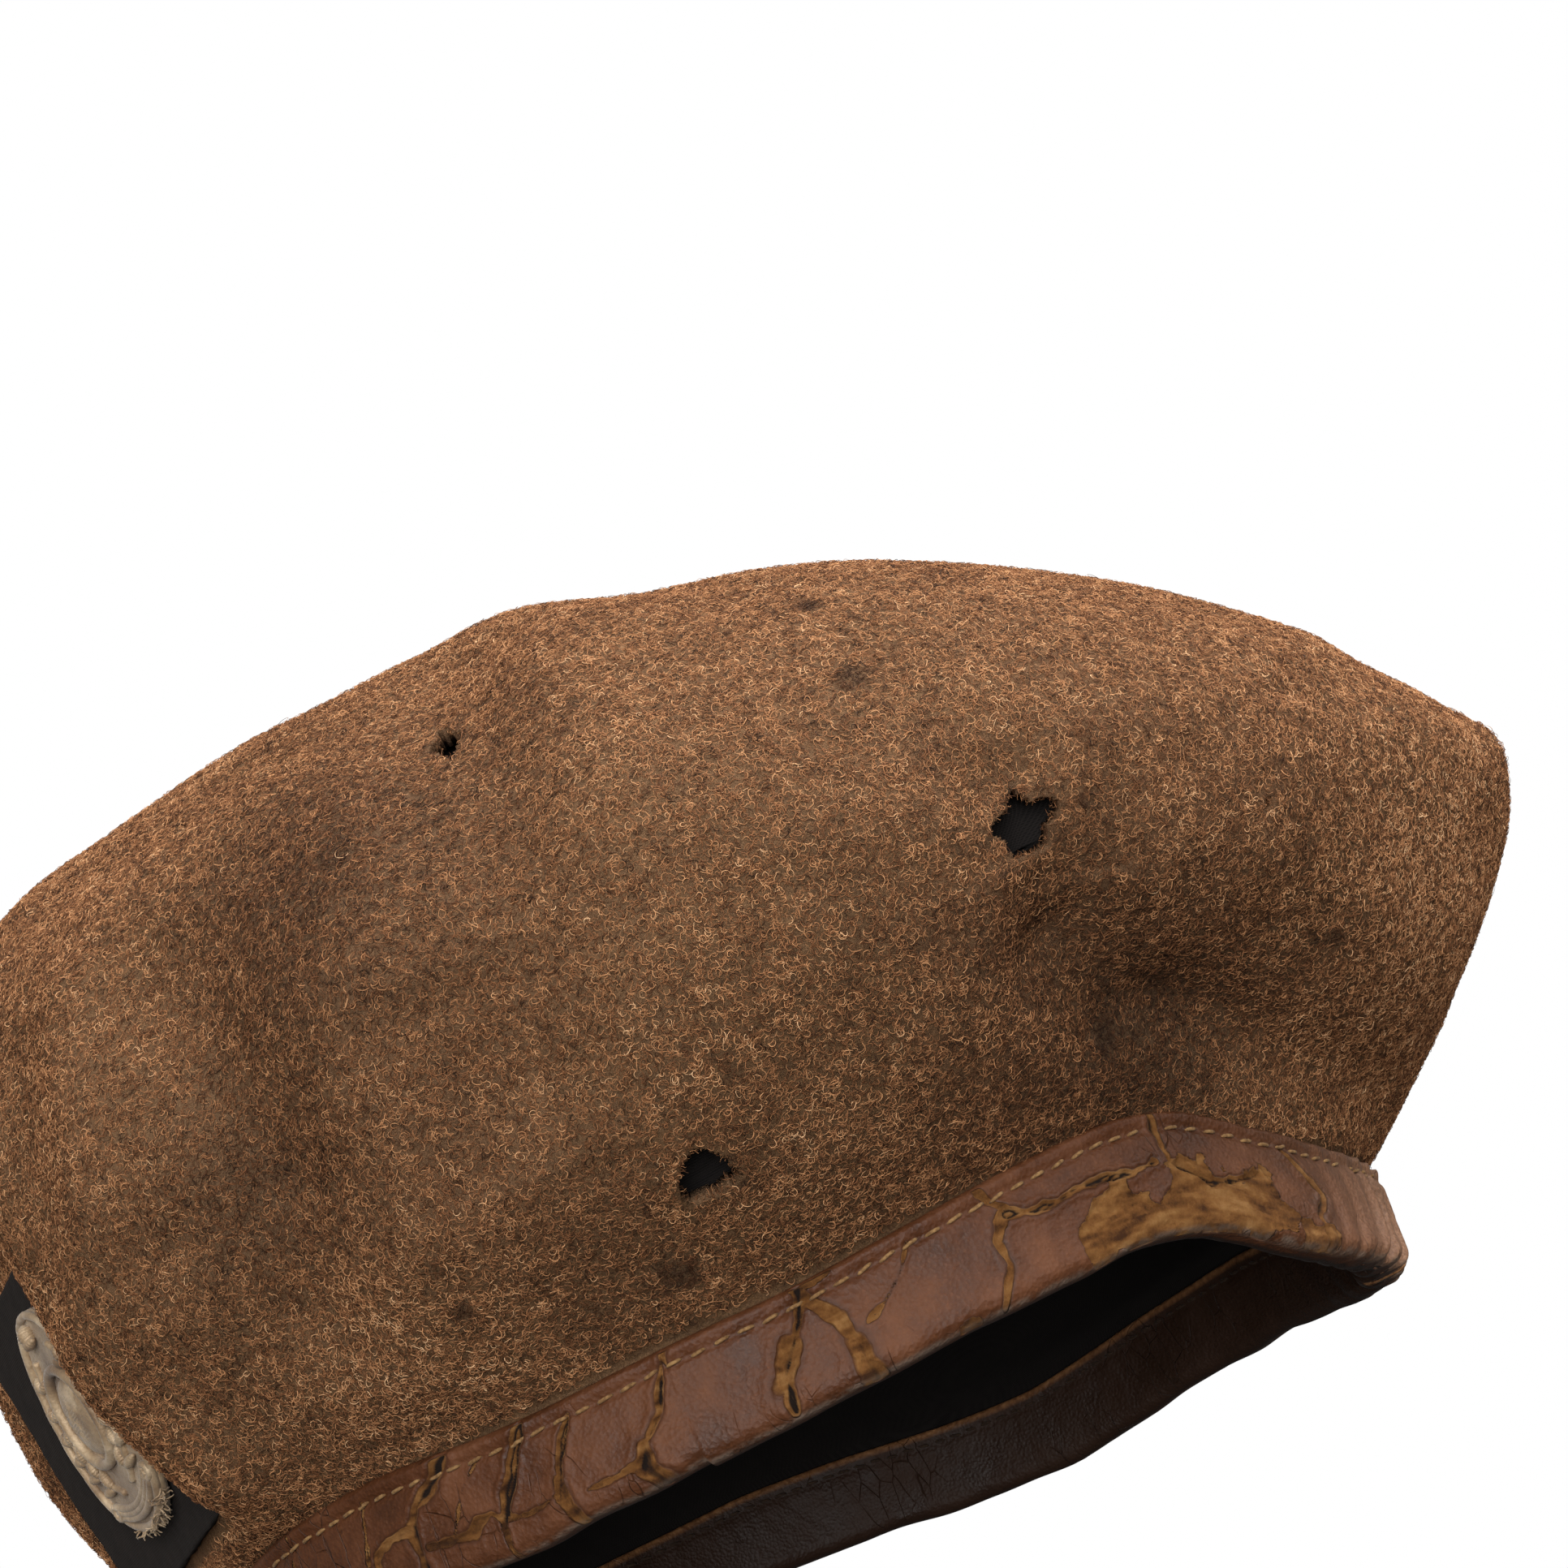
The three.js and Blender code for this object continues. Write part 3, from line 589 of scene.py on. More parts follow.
class Finish:
    """A node material: one Principled surface and short ways to add what feeds it."""

    def __init__(self, name, roughness=0.9, sheen=0.0, metallic=0.0, specular=0.3):
        self.material = bpy.data.materials.new(name)
        self.material.use_nodes = True
        self.tree = self.material.node_tree
        self.surface = self.tree.nodes["Principled BSDF"]
        self.surface.inputs["Roughness"].default_value = roughness
        self.surface.inputs["Metallic"].default_value = metallic
        self.surface.inputs["Specular IOR Level"].default_value = specular
        self.surface.inputs["Sheen Weight"].default_value = sheen
        self.place = self.millimetres()

    def add(self, kind, inputs=None, **settings):
        node = self.tree.nodes.new(kind)
        for key, value in settings.items():
            setattr(node, key, value)
        for key, value in (inputs or {}).items():
            self.feed(node.inputs[key], value)
        return node

    def feed(self, socket, value):
        if isinstance(value, bpy.types.NodeSocket):
            self.tree.links.new(value, socket)
        else:
            socket.default_value = value

    def millimetres(self):
        """Object coordinates in millimetres."""
        coordinates = self.add("ShaderNodeTexCoord")
        scaled = self.add("ShaderNodeVectorMath", {0: coordinates.outputs["Object"],
                                                   1: (1000, 1000, 1000)},
                          operation="MULTIPLY")
        return scaled.outputs[0]

    def noise(self, per_mm, detail=4.0, roughness=0.6, distortion=0.0, place=None):
        node = self.add("ShaderNodeTexNoise", {
            "Vector": place or self.place, "Scale": per_mm, "Detail": detail,
            "Roughness": roughness, "Distortion": distortion})
        return node.outputs["Fac"]

    def voronoi(self, per_mm, feature="DISTANCE_TO_EDGE", place=None):
        node = self.add("ShaderNodeTexVoronoi", {"Vector": place or self.place,
                                                 "Scale": per_mm}, feature=feature)
        return node.outputs["Distance"]

    def wave(self, per_mm, axis="X", distortion=0.0, place=None):
        node = self.add("ShaderNodeTexWave", {"Vector": place or self.place, "Scale": per_mm,
                                              "Distortion": distortion},
                        bands_direction=axis)
        return node.outputs["Fac"]

    def attribute(self, name):
        return self.add("ShaderNodeAttribute", attribute_name=name).outputs["Fac"]

    def math(self, operation, a, b=0.0, clamp=False):
        node = self.add("ShaderNodeMath", {0: a, 1: b}, operation=operation)
        node.use_clamp = clamp
        return node.outputs[0]

    def rescale(self, value, low, high, to_low=0.0, to_high=1.0):
        node = self.add("ShaderNodeMapRange", {0: value, 1: low, 2: high, 3: to_low,
                                               4: to_high})
        return node.outputs[0]

    def ramp(self, value, *stops):
        """Colours along a value; each stop is (position, (r, g, b))."""
        node = self.add("ShaderNodeValToRGB", {"Fac": value})
        band = node.color_ramp.elements
        while len(band) < len(stops):
            band.new(0.5)
        for element, (position, colour) in zip(band, stops):
            element.position = position
            element.color = (*colour, 1)
        return node.outputs["Color"]

    def mix(self, share, a, b, blend="MIX"):
        node = self.add("ShaderNodeMix", data_type="RGBA", blend_type=blend)
        self.feed(node.inputs["Factor"], share)
        sockets = [s for s in node.inputs if s.type == "RGBA"]
        self.feed(sockets[0], opaque(a))
        self.feed(sockets[1], opaque(b))
        return [s for s in node.outputs if s.type == "RGBA"][0]

    def colour(self, value):
        self.feed(self.surface.inputs["Base Color"], opaque(value))

    def roughness(self, value):
        self.feed(self.surface.inputs["Roughness"], value)

    def sheen(self, tint):
        self.surface.inputs["Sheen Tint"].default_value = (*tint, 1)
        self.surface.inputs["Sheen Roughness"].default_value = 0.5

    def bump(self, height, depth_mm, strength=1.0, under=None):
        inputs = {"Height": height, "Distance": depth_mm * MM, "Strength": strength}
        if under is not None:
            inputs["Normal"] = under
        node = self.add("ShaderNodeBump", inputs)
        self.feed(self.surface.inputs["Normal"], node.outputs["Normal"])
        return node.outputs["Normal"]


def felt_finish():
    f = Finish("wool_felt", roughness=1.0, sheen=0.35, specular=0.08)
    f.sheen((0.95, 0.55, 0.30))
    speckle = f.noise(1.3, detail=6, roughness=0.8)
    mottle = f.noise(0.30, detail=4, roughness=0.6)
    broad = f.noise(0.016, detail=3)
    curls = f.math("ABSOLUTE", f.math("SUBTRACT", f.noise(0.75, detail=2, distortion=2.4), 0.5))
    curl = f.rescale(curls, 0.0, 0.04, 1.0, 0.0)
    fine = f.math("ABSOLUTE", f.math("SUBTRACT", f.noise(1.6, detail=1, distortion=1.8), 0.5))
    strand = f.rescale(fine, 0.0, 0.06, 1.0, 0.0)
    tone = f.math("ADD", f.math("MULTIPLY", speckle, 0.7), f.math("MULTIPLY", mottle, 0.3))
    # The felt between the nap fibres is dark: partly the wool's own colour, partly painted shade from
    # the fibres standing over it.
    colour = f.ramp(tone, (0.38, (0.014, 0.006, 0.003)), (0.47, (0.052, 0.022, 0.010)),
                    (0.55, (0.125, 0.056, 0.025)), (0.68, (0.30, 0.150, 0.072)))
    colour = f.mix(f.math("MULTIPLY", curl, 0.5), colour, (0.26, 0.125, 0.058))
    colour = f.mix(f.math("MULTIPLY", strand, 0.35), colour, (0.22, 0.105, 0.048))
    olive = f.mix(1.0, colour, (0.90, 0.99, 0.92), "MULTIPLY")
    colour = f.mix(f.rescale(broad, 0.4, 0.6), colour, olive)
    # Painted shade, darkening the felt in its hollows and down the walls of the moth holes.
    colour = f.mix(f.attribute("painted_shade"), colour, (0.012, 0.006, 0.004))
    stain = f.attribute("stain")
    edge = f.math("MULTIPLY", stain, f.rescale(f.noise(0.9, detail=4), 0.42, 0.56))
    colour = f.mix(f.math("MULTIPLY", edge, 0.85), colour, (0.022, 0.014, 0.010))
    f.colour(colour)
    height = f.math("ADD", f.math("MULTIPLY", speckle, 1.0), f.math("MULTIPLY", curl, 0.25))
    height = f.math("ADD", height, f.math("MULTIPLY", strand, 0.2))
    under = f.bump(mottle, 1.3, strength=0.6)
    f.bump(height, 0.9, strength=1.0, under=under)
    return f.material


WOOL_TONES = [(0.0, (0.018, 0.007, 0.0025)), (0.25, (0.080, 0.031, 0.012)),
              (0.5, (0.240, 0.101, 0.041)), (0.75, (0.49, 0.240, 0.105)),
              (1.0, (0.76, 0.49, 0.27))]


def fibre_finish():
    f = Finish("wool_fibre", roughness=0.8, specular=0.2)
    f.colour(f.ramp(f.attribute("tone"), *WOOL_TONES))
    return f.material


def loose_fibre_finish():
    f = Finish("loose_wool_fibre", roughness=0.85, specular=0.15)
    f.colour(f.ramp(f.rescale(f.noise(0.35, detail=1), 0.3, 0.75), *WOOL_TONES))
    return f.material


def cloth_finish(name, dark, light, per_mm, roughness=0.9, sheen=0.3):
    """Woven cloth: two thread directions with slubs."""
    f = Finish(name, roughness=roughness, sheen=sheen, specular=0.2)
    f.sheen((0.5, 0.45, 0.42))
    warp = f.wave(per_mm, "X", 0.5)
    weft = f.wave(per_mm, "Z", 0.5)
    weave = f.math("MAXIMUM", warp, weft)
    slub = f.noise(0.25, detail=5)
    colour = f.ramp(f.math("MULTIPLY", f.math("ADD", slub, weave), 0.5),
                    (0.3, dark), (0.8, light))
    f.colour(colour)
    f.bump(weave, 0.12, 0.6, under=f.bump(slub, 0.4, 0.4))
    return f.material


def leather_finish():
    f = Finish("dark_leather", roughness=0.5, specular=0.24)
    grain = f.voronoi(1.6, "F1")
    pores = f.noise(2.2, detail=5, roughness=0.7)
    clouds = f.noise(0.10, detail=6, roughness=0.65)
    craze = f.voronoi(0.30, "DISTANCE_TO_EDGE",
                      f.add("ShaderNodeVectorMath", {0: f.place, 1: (1.0, 1.0, 0.45)},
                            operation="MULTIPLY").outputs[0])
    crazing = f.math("MULTIPLY", f.rescale(craze, 0.0, 0.022, 1.0, 0.0),
                     f.rescale(f.noise(0.06, detail=3), 0.52, 0.62))
    colour = f.ramp(clouds, (0.28, (0.036, 0.0122, 0.0044)), (0.48, (0.072, 0.0238, 0.0084)),
                    (0.66, (0.110, 0.0400, 0.0158)))
    colour = f.mix(f.rescale(pores, 0.52, 0.75, 0.0, 0.45), colour, (0.165, 0.060, 0.022))
    colour = f.mix(f.math("MULTIPLY", crazing, 0.55), colour, (0.030, 0.012, 0.006))
    suede_grain = f.math("ADD", f.math("MULTIPLY", f.attribute("grain"), 0.62),
                         f.math("MULTIPLY", f.noise(0.8, detail=6, roughness=0.8), 0.38))
    suede = f.ramp(suede_grain, (0.36, (0.075, 0.026, 0.006)), (0.46, (0.215, 0.084, 0.019)),
                   (0.54, (0.310, 0.134, 0.035)), (0.66, (0.450, 0.225, 0.073)))
    bare = f.rescale(f.attribute("bare"), 0.42, 0.62)
    colour = f.mix(bare, colour, suede)
    # A darker ring just outside the bare suede, at the foot of each curled-up edge.
    next_to_bare = f.rescale(f.attribute("bare"), 0.12, 0.34)
    rim = f.math("MULTIPLY", next_to_bare, f.math("SUBTRACT", 1.0, bare))
    colour = f.mix(f.math("MULTIPLY", rim, 0.55), colour, (0.040, 0.014, 0.006))
    # Painted shade: each crack's bottom is darkened near black.
    colour = f.mix(f.rescale(f.attribute("groove_and_shade"), 0.48, 0.82), colour,
                   (0.017, 0.008, 0.0045))
    colour = f.mix(f.math("MULTIPLY", f.attribute("worn"), f.rescale(pores, 0.35, 0.6, 0.35, 0.9)),
                   colour, (0.31, 0.168, 0.098))
    # A thin pale grey line along the binding's folded foot.
    pale_foot_line = f.math("MULTIPLY", f.attribute("edge"),
                     f.rescale(f.noise(0.5, detail=4), 0.35, 0.55))
    colour = f.mix(f.math("MULTIPLY", pale_foot_line, 0.6), colour, (0.20, 0.155, 0.12))
    colour = f.mix(f.attribute("inside"), colour, (0.020, 0.0105, 0.0065))
    colour = f.mix(f.attribute("raw"), colour,
                   f.ramp(f.noise(0.8, detail=4), (0.35, (0.12, 0.050, 0.020)),
                          (0.65, (0.30, 0.145, 0.060))))
    f.colour(colour)
    rough = f.rescale(clouds, 0.35, 0.65, 0.40, 0.62)
    f.roughness(f.math("MAXIMUM", rough, f.math("MULTIPLY", bare, 0.95)))
    first = f.bump(clouds, 0.5, 0.5)
    second = f.bump(f.math("ADD", grain, f.math("MULTIPLY", pores, 0.8)), 0.16, 0.7, first)
    third = f.bump(f.math("MULTIPLY", crazing, -1.0), 0.25, 0.8, second)
    f.bump(f.math("MULTIPLY", bare, f.noise(1.2, detail=6, roughness=0.85)), 1.0, 1.0, third)
    return f.material


def thread_finish(name, dark, light, per_mm=1.6, roughness=0.7):
    f = Finish(name, roughness=roughness, sheen=0.05, specular=0.2)
    f.colour(f.ramp(f.noise(per_mm, detail=4), (0.34, dark), (0.64, light)))
    f.bump(f.noise(3.5, detail=3), 0.12, 0.7)
    return f.material


def embroidery_finish():
    f = Finish("tarnished_thread", roughness=0.5, sheen=0.2, specular=0.5, metallic=0.25)
    tarnish = f.noise(0.16, detail=5)
    colour = f.ramp(tarnish, (0.32, (0.20, 0.122, 0.065)), (0.5, (0.38, 0.262, 0.150)),
                    (0.66, (0.62, 0.475, 0.31)))
    colour = f.mix(f.rescale(f.noise(1.2, detail=4), 0.5, 0.7, 0.0, 0.4), colour,
                   (0.16, 0.105, 0.06))
    # Painted shade: the low plaque lying between the raised padded work is darkened.
    colour = f.mix(f.attribute("recess_shade"), colour, (0.06, 0.04, 0.026))
    f.colour(colour)
    f.bump(f.noise(3.0, detail=4), 0.15, 0.8)
    return f.material


def metal_finish():
    f = Finish("blackened_brass", roughness=0.42, metallic=1.0, specular=0.5)
    wear = f.noise(0.9, detail=6, roughness=0.7)
    f.colour(f.ramp(wear, (0.4, (0.018, 0.015, 0.013)), (0.58, (0.06, 0.045, 0.032)),
                    (0.72, (0.32, 0.21, 0.10))))
    f.roughness(f.rescale(wear, 0.3, 0.7, 0.32, 0.6))
    f.bump(f.noise(2.0, detail=4), 0.08, 0.5)
    return f.material


FELT = felt_finish()
FIBRE = fibre_finish()
LOOSE_FIBRE = loose_fibre_finish()
LINING = cloth_finish("lining_cotton", (0.0030, 0.0022, 0.002), (0.011, 0.0085, 0.0075), 1.2,
                      sheen=0.05)
BACKING = cloth_finish("backing_felt", (0.0035, 0.003, 0.003), (0.017, 0.0120, 0.0095), 1.0,
                       sheen=0.03)
LEATHER_SKIN = leather_finish()
CANVAS = cloth_finish("stiff_canvas", (0.035, 0.024, 0.016), (0.09, 0.066, 0.046), 1.0)
TAN_THREAD = thread_finish("tan_thread", (0.115, 0.055, 0.019), (0.28, 0.160, 0.062))
SOILED_THREAD = thread_finish("soiled_thread", (0.018, 0.009, 0.005), (0.045, 0.024, 0.012))
CORD = thread_finish("cotton_cord", (0.010, 0.007, 0.005), (0.045, 0.032, 0.024))
EMBROIDERY = embroidery_finish()
METAL = metal_finish()


# ---------------------------------------------------------------------------------------
# Felt crown
# ---------------------------------------------------------------------------------------

crown = Sheet(320, crown_rises(5, 56, 80))
fold_crown(crown)
drape_crown(crown)


def on_crown(degrees, rise):
    """A point on the crown and its sideways, upward and outward directions."""
    angle = math.radians(degrees)
    middle = crown.sample(angle, rise)
    outward = normalise(crown.sample(angle, rise, "normals"))
    sideways = normalise(np.cross((0.0, 0.0, 1.0), outward))
    return middle, sideways, np.cross(outward, sideways), outward


def hole_reach(hole, turn):
    """The ragged outline of a moth hole: its radius at each turn about its middle."""
    ring = np.stack([np.cos(turn), np.sin(turn), np.zeros_like(turn)], -1)
    ragged = rough_noise(ring, 0.5, 3, seed=hole["seed"] * 31)
    lobes = 0.16 * np.cos(hole["lobes"] * (turn - math.pi / 2))
    return hole["radius"] * (1 + lobes + 0.16 * ragged)


def hole_polar(hole, points):
    """Each point's turn and distance about a hole's middle, and how far it stands out."""
    middle, sideways, upward, outward = on_crown(hole["angle"], hole["rise"])
    offset = points - middle
    across = offset @ sideways
    up = offset @ upward / hole.get("tall", 1.0)
    return np.arctan2(up, across), np.hypot(across, up), offset @ outward


def eat_holes(mesh, margin_mm=5.0):
    """Refines the felt round each moth hole, then takes away what the moths ate."""
    for hole in MOTH_HOLES:
        middle = on_crown(hole["angle"], hole["rise"])[0]
        margin = hole["radius"] * hole.get("tall", 1.0) + margin_mm
        for _ in range(2):
            mesh.verts.ensure_lookup_table()
            points = np.array([v.co for v in mesh.verts]) / MM - BAND_MIDDLE
            near = set(np.nonzero(np.linalg.norm(points - middle, axis=-1) < margin)[0].tolist())
            edges = [e for e in mesh.edges
                     if e.verts[0].index in near and e.verts[1].index in near]
            bmesh.ops.subdivide_edges(mesh, edges=edges, cuts=1, use_grid_fill=True)
            mesh.verts.index_update()
        mesh.faces.ensure_lookup_table()
        centres = np.array([f.calc_center_median() for f in mesh.faces]) / MM - BAND_MIDDLE
        turn, aside, proud = hole_polar(hole, centres)
        inside = (aside < hole_reach(hole, turn)) & (np.abs(proud) < 3 * hole["radius"])
        eaten = [mesh.faces[i] for i in np.nonzero(inside)[0]]
        bmesh.ops.delete(mesh, geom=eaten, context="FACES")


def make_felt():
    columns, rows = crown.points.shape[:2]
    points = np.concatenate([crown.points[:, :-1].reshape(-1, 3), crown.points[:1, -1]])
    faces = grid_faces(columns, rows - 1, closed_across=True)
    top = columns * (rows - 1)
    for i in range(columns):
        last = rows - 2
        faces.append((i * (rows - 1) + last, ((i + 1) % columns) * (rows - 1) + last, top))
    felt = new_mesh("felt_crown", points, faces)
    mesh = bmesh.new()
    mesh.from_mesh(felt.data)
    eat_holes(mesh)
    mesh.to_mesh(felt.data)
    mesh.free()
    apply_modifier(felt, "SOLIDIFY", thickness=FELT_THICKNESS * MM, offset=-1,
                   use_even_offset=False)
    points = piece_points(felt)
    stain = stain_at(points)
    set_attribute(felt, "stain", stain)
    # Painted shade: the dark painted patches, and the sunken inner walls of each moth hole.
    painted_shade = np.clip(-4 * painted_shade_and_light_at(points), 0, 0.8)
    for hole in MOTH_HOLES:
        turn, aside, proud = hole_polar(hole, points)
        wall = (aside < hole_reach(hole, turn) + 0.8) & (np.abs(proud) < 6)
        sunk = smoothstep(-proud, 0.25, 0.7)
        painted_shade = np.maximum(painted_shade, wall * sunk)
    set_attribute(felt, "painted_shade", painted_shade)
    felt.data.polygons.foreach_set("use_smooth", [True] * len(felt.data.polygons))
    return finish_piece(felt, "cap", "wool_felt", FELT, "felt_body")


def random_on_crown(rng, count, low_rise=0.003):
    """Points spread evenly by area over the felt, as angles and rises."""
    p = crown.points
    across = np.roll(p, -1, 0) - p
    area = np.linalg.norm(np.cross(across[:, :-1], p[:, 1:] - p[:, :-1]), axis=-1)
    area = area * (crown.rises[None, :-1] >= low_rise)
    chosen = rng.choice(area.size, size=count, p=(area / area.sum()).ravel())
    column, row = np.divmod(chosen, area.shape[1])
    angle = (column + rng.random(count)) * 2 * math.pi / crown.columns
    step = crown.rises[row + 1] - crown.rises[row]
    return angle, crown.rises[row] + rng.random(count) * step


def clear_of_holes(points):
    keep = np.ones(len(points), bool)
    for hole in MOTH_HOLES:
        turn, aside, proud = hole_polar(hole, points)
        keep &= (aside > hole_reach(hole, turn)) | (np.abs(proud) > 3 * hole["radius"])
    return keep


def clear_of_badge(points):
    offset = points - PANEL_MIDDLE
    return ~((np.abs(offset @ PANEL_SIDEWAYS) < 21) & (np.abs(offset @ PANEL_UPWARD) < 24)
             & (np.abs(offset @ PANEL_OUTWARD) < 6))


def curly_strands(rng, roots, normals, steps, step_mm, lift, curl):
    """Paths of fibres that leave the felt, curl over it and lie back down."""
    count = len(roots)
    random = rng.normal(size=(count, 3))
    heading = normalise(random - np.sum(random * normals, -1, keepdims=True) * normals)
    turning = curl * rng.uniform(0.6, 1.4, size=(count, 1)) * rng.choice([-1, 1], (count, 1))
    wobble = rng.normal(0, 0.25, size=(count, steps, 1))
    length = step_mm * rng.uniform(0.6, 1.3, size=(count, 1))
    climb = lift * rng.uniform(0.2, 1.0, size=(count, 1))
    path = np.zeros((count, steps, 3))
    here = roots - 0.05 * normals
    path[:, 0] = here
    for k in range(1, steps):
        side = np.cross(normals, heading)
        bend = turning + wobble[:, k]
        heading = normalise(heading * np.cos(bend) + side * np.sin(bend))
        rise = climb * math.cos(0.8 * math.pi * (k - 0.5) / (steps - 1))
        here = here + length * (heading + rise * normals)
        path[:, k] = here
    return path


def hair_object(name, path, radius_mm, tone, material, body="cap"):
    """Fibres as render curves, each with its own tone from dark to light."""
    count, steps = path.shape[:2]
    data = bpy.data.hair_curves.new(name)
    data.add_curves([steps] * count)
    data.position_data.foreach_set("vector", to_frame(path).astype(np.float32).ravel())
    radius = data.attributes.get("radius") or data.attributes.new("radius", "FLOAT", "POINT")
    taper = np.linspace(1.0, 0.4, steps)
    values = np.asarray(radius_mm).reshape(-1, 1) * taper * MM
    values = np.broadcast_to(values, (count, steps))
    radius.data.foreach_set("value", values.astype(np.float32).ravel())
    shade = data.attributes.new("tone", "FLOAT", "CURVE")
    shade.data.foreach_set("value", np.clip(tone, 0, 1).astype(np.float32))
    data.materials.append(material)
    strands = bpy.data.objects.new(name, data)
    bpy.context.scene.collection.objects.link(strands)
    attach(strands, body)
    return strands


def stain_at(points):
    """How stained the felt is, from 0 to 1."""
    stain = np.zeros(points.shape[:-1])
    for degrees, rise, size in STAINS:
        middle = crown.sample(math.radians(degrees), rise)
        reach = np.linalg.norm(points - middle, axis=-1) / size
        reach = reach + 0.35 * rough_noise(points, 1.5, 2, seed=81)
        stain = np.maximum(stain, 1 - smoothstep(reach, 0.5, 1.3))
    return stain


def painted_shade_and_light_at(points):
    """How much lighter or darker the wool is painted, as painted light and shade."""
    change = np.zeros(points.shape[:-1])
    for degrees, rise, size, amount in SHADE_AND_LIGHT_PATCHES:
        middle = crown.sample(math.radians(degrees), rise)
        reach = np.linalg.norm(points - middle, axis=-1) / size
        change += amount * np.exp(-reach ** 2)
    return change


def make_nap(name, seed, count, steps, step_mm, lift, curl, thickness, tone_shift):
    """A layer of the felt's nap, seen only in renders. Neighbouring fibres share a tone."""
    rng = np.random.default_rng(seed)
    angle, rise = random_on_crown(rng, count)
    roots = crown.sample(angle, rise)
    normals = normalise(crown.sample(angle, rise, "normals"))
    keep = clear_of_holes(roots) & clear_of_badge(roots)
    roots, normals = roots[keep], normals[keep]
    path = curly_strands(rng, roots, normals, steps, step_mm, lift, curl)
    keep = clear_of_holes(path.reshape(-1, 3)).reshape(path.shape[:2]).all(axis=1)
    roots, path = roots[keep], path[keep]
    radius = rng.uniform(0.7, 1.2, len(roots)) * thickness
    # The tone carries the painted light and shade patches as well as the fibres' own clumped and random
    # colour.
    tone = (0.46 + tone_shift + 0.20 * noise(roots, 0.9, seed=82)
            + 0.06 * noise(roots, 7, seed=84) + painted_shade_and_light_at(roots)
            + 0.21 * rng.normal(size=len(roots)).clip(-2, 1.3))
    tone = tone * (1 - 0.8 * stain_at(roots))
    hair_object(name, path, radius, tone, FIBRE)


def make_edge_fuzz():
    """Fibres standing into each moth hole from its ragged edge."""
    rng = np.random.default_rng(12)
    roots, headings = [], []
    for hole in MOTH_HOLES:
        middle, sideways, upward, outward = on_crown(hole["angle"], hole["rise"])
        count = int(70 * hole["radius"])
        turn = rng.uniform(0, 2 * math.pi, count)
        reach = hole_reach(hole, turn) + rng.uniform(-0.1, 0.5, count)
        tall = hole.get("tall", 1.0)
        out = np.cos(turn)[:, None] * sideways + tall * np.sin(turn)[:, None] * upward
        depth = rng.uniform(-1.6, 0.1, count)[:, None]
        roots.append(middle + reach[:, None] * out + depth * outward)
        headings.append(-normalise(out) + 0.8 * rng.normal(size=(count, 3)))
    roots = np.concatenate(roots)
    heading = normalise(np.concatenate(headings))
    steps = 6
    path = np.zeros((len(roots), steps, 3))
    here = roots
    length = rng.uniform(0.10, 0.26, (len(roots), 1))
    for k in range(steps):
        path[:, k] = here
        here = here + length * heading
        heading = normalise(heading + 0.55 * rng.normal(size=heading.shape))
    tone = rng.uniform(0.15, 0.65, len(roots))
    hair_object("hole_fuzz", path, rng.uniform(0.03, 0.06, len(roots)), tone, FIBRE)


make_felt()
make_nap("felt_pile", 11, 460000, 7, 0.24, 0.9, 0.5, 0.058, 0.0)
make_nap("felt_curls", 14, 190000, 7, 0.21, 1.0, 0.42, 0.050, 0.04)
make_edge_fuzz()


def make_loose_fibres():
    """The longer stray wool fibres, as real geometry."""
    rng = np.random.default_rng(13)
    angle, rise = random_on_crown(rng, 1500)
    roots = crown.sample(angle, rise)
    normals = normalise(crown.sample(angle, rise, "normals"))
    keep = clear_of_holes(roots) & clear_of_badge(roots)
    roots, normals = roots[keep], normals[keep]
    paths = curly_strands(rng, roots, normals, 9, 0.5, 0.5, 0.5)
    points, faces = [], []
    for path in paths:
        taper = np.linspace(0.05, 0.02, len(path))
        add_tube(points, faces, tube_rings(path, taper, 3))
    fibres = new_mesh("loose_fibres", np.array(points), faces)
    return finish_piece(fibres, "cap", "wool_felt", LOOSE_FIBRE)


make_loose_fibres()


# ---------------------------------------------------------------------------------------
# Lining
# ---------------------------------------------------------------------------------------

def lining_depth(rise):
    return LINING_DEPTH_IN_BAND + (LINING_DEPTH_IN_CROWN - LINING_DEPTH_IN_BAND) \
        * smoothstep(rise, 0, 0.3)


def slack(points, rise):
    """Soft pleats in the loose lining, as a distance inwards."""
    stretched = points * np.array([1.0, 1.0, 0.35])
    ridge = 1 - np.abs(noise(stretched, 15, seed=21))
    ripple = 1 - np.abs(noise(stretched, 7, seed=22))
    fade = smoothstep(rise, 0.05, 0.5)
    return fade * (2.2 * ridge ** 3 + 0.7 * ripple ** 2)


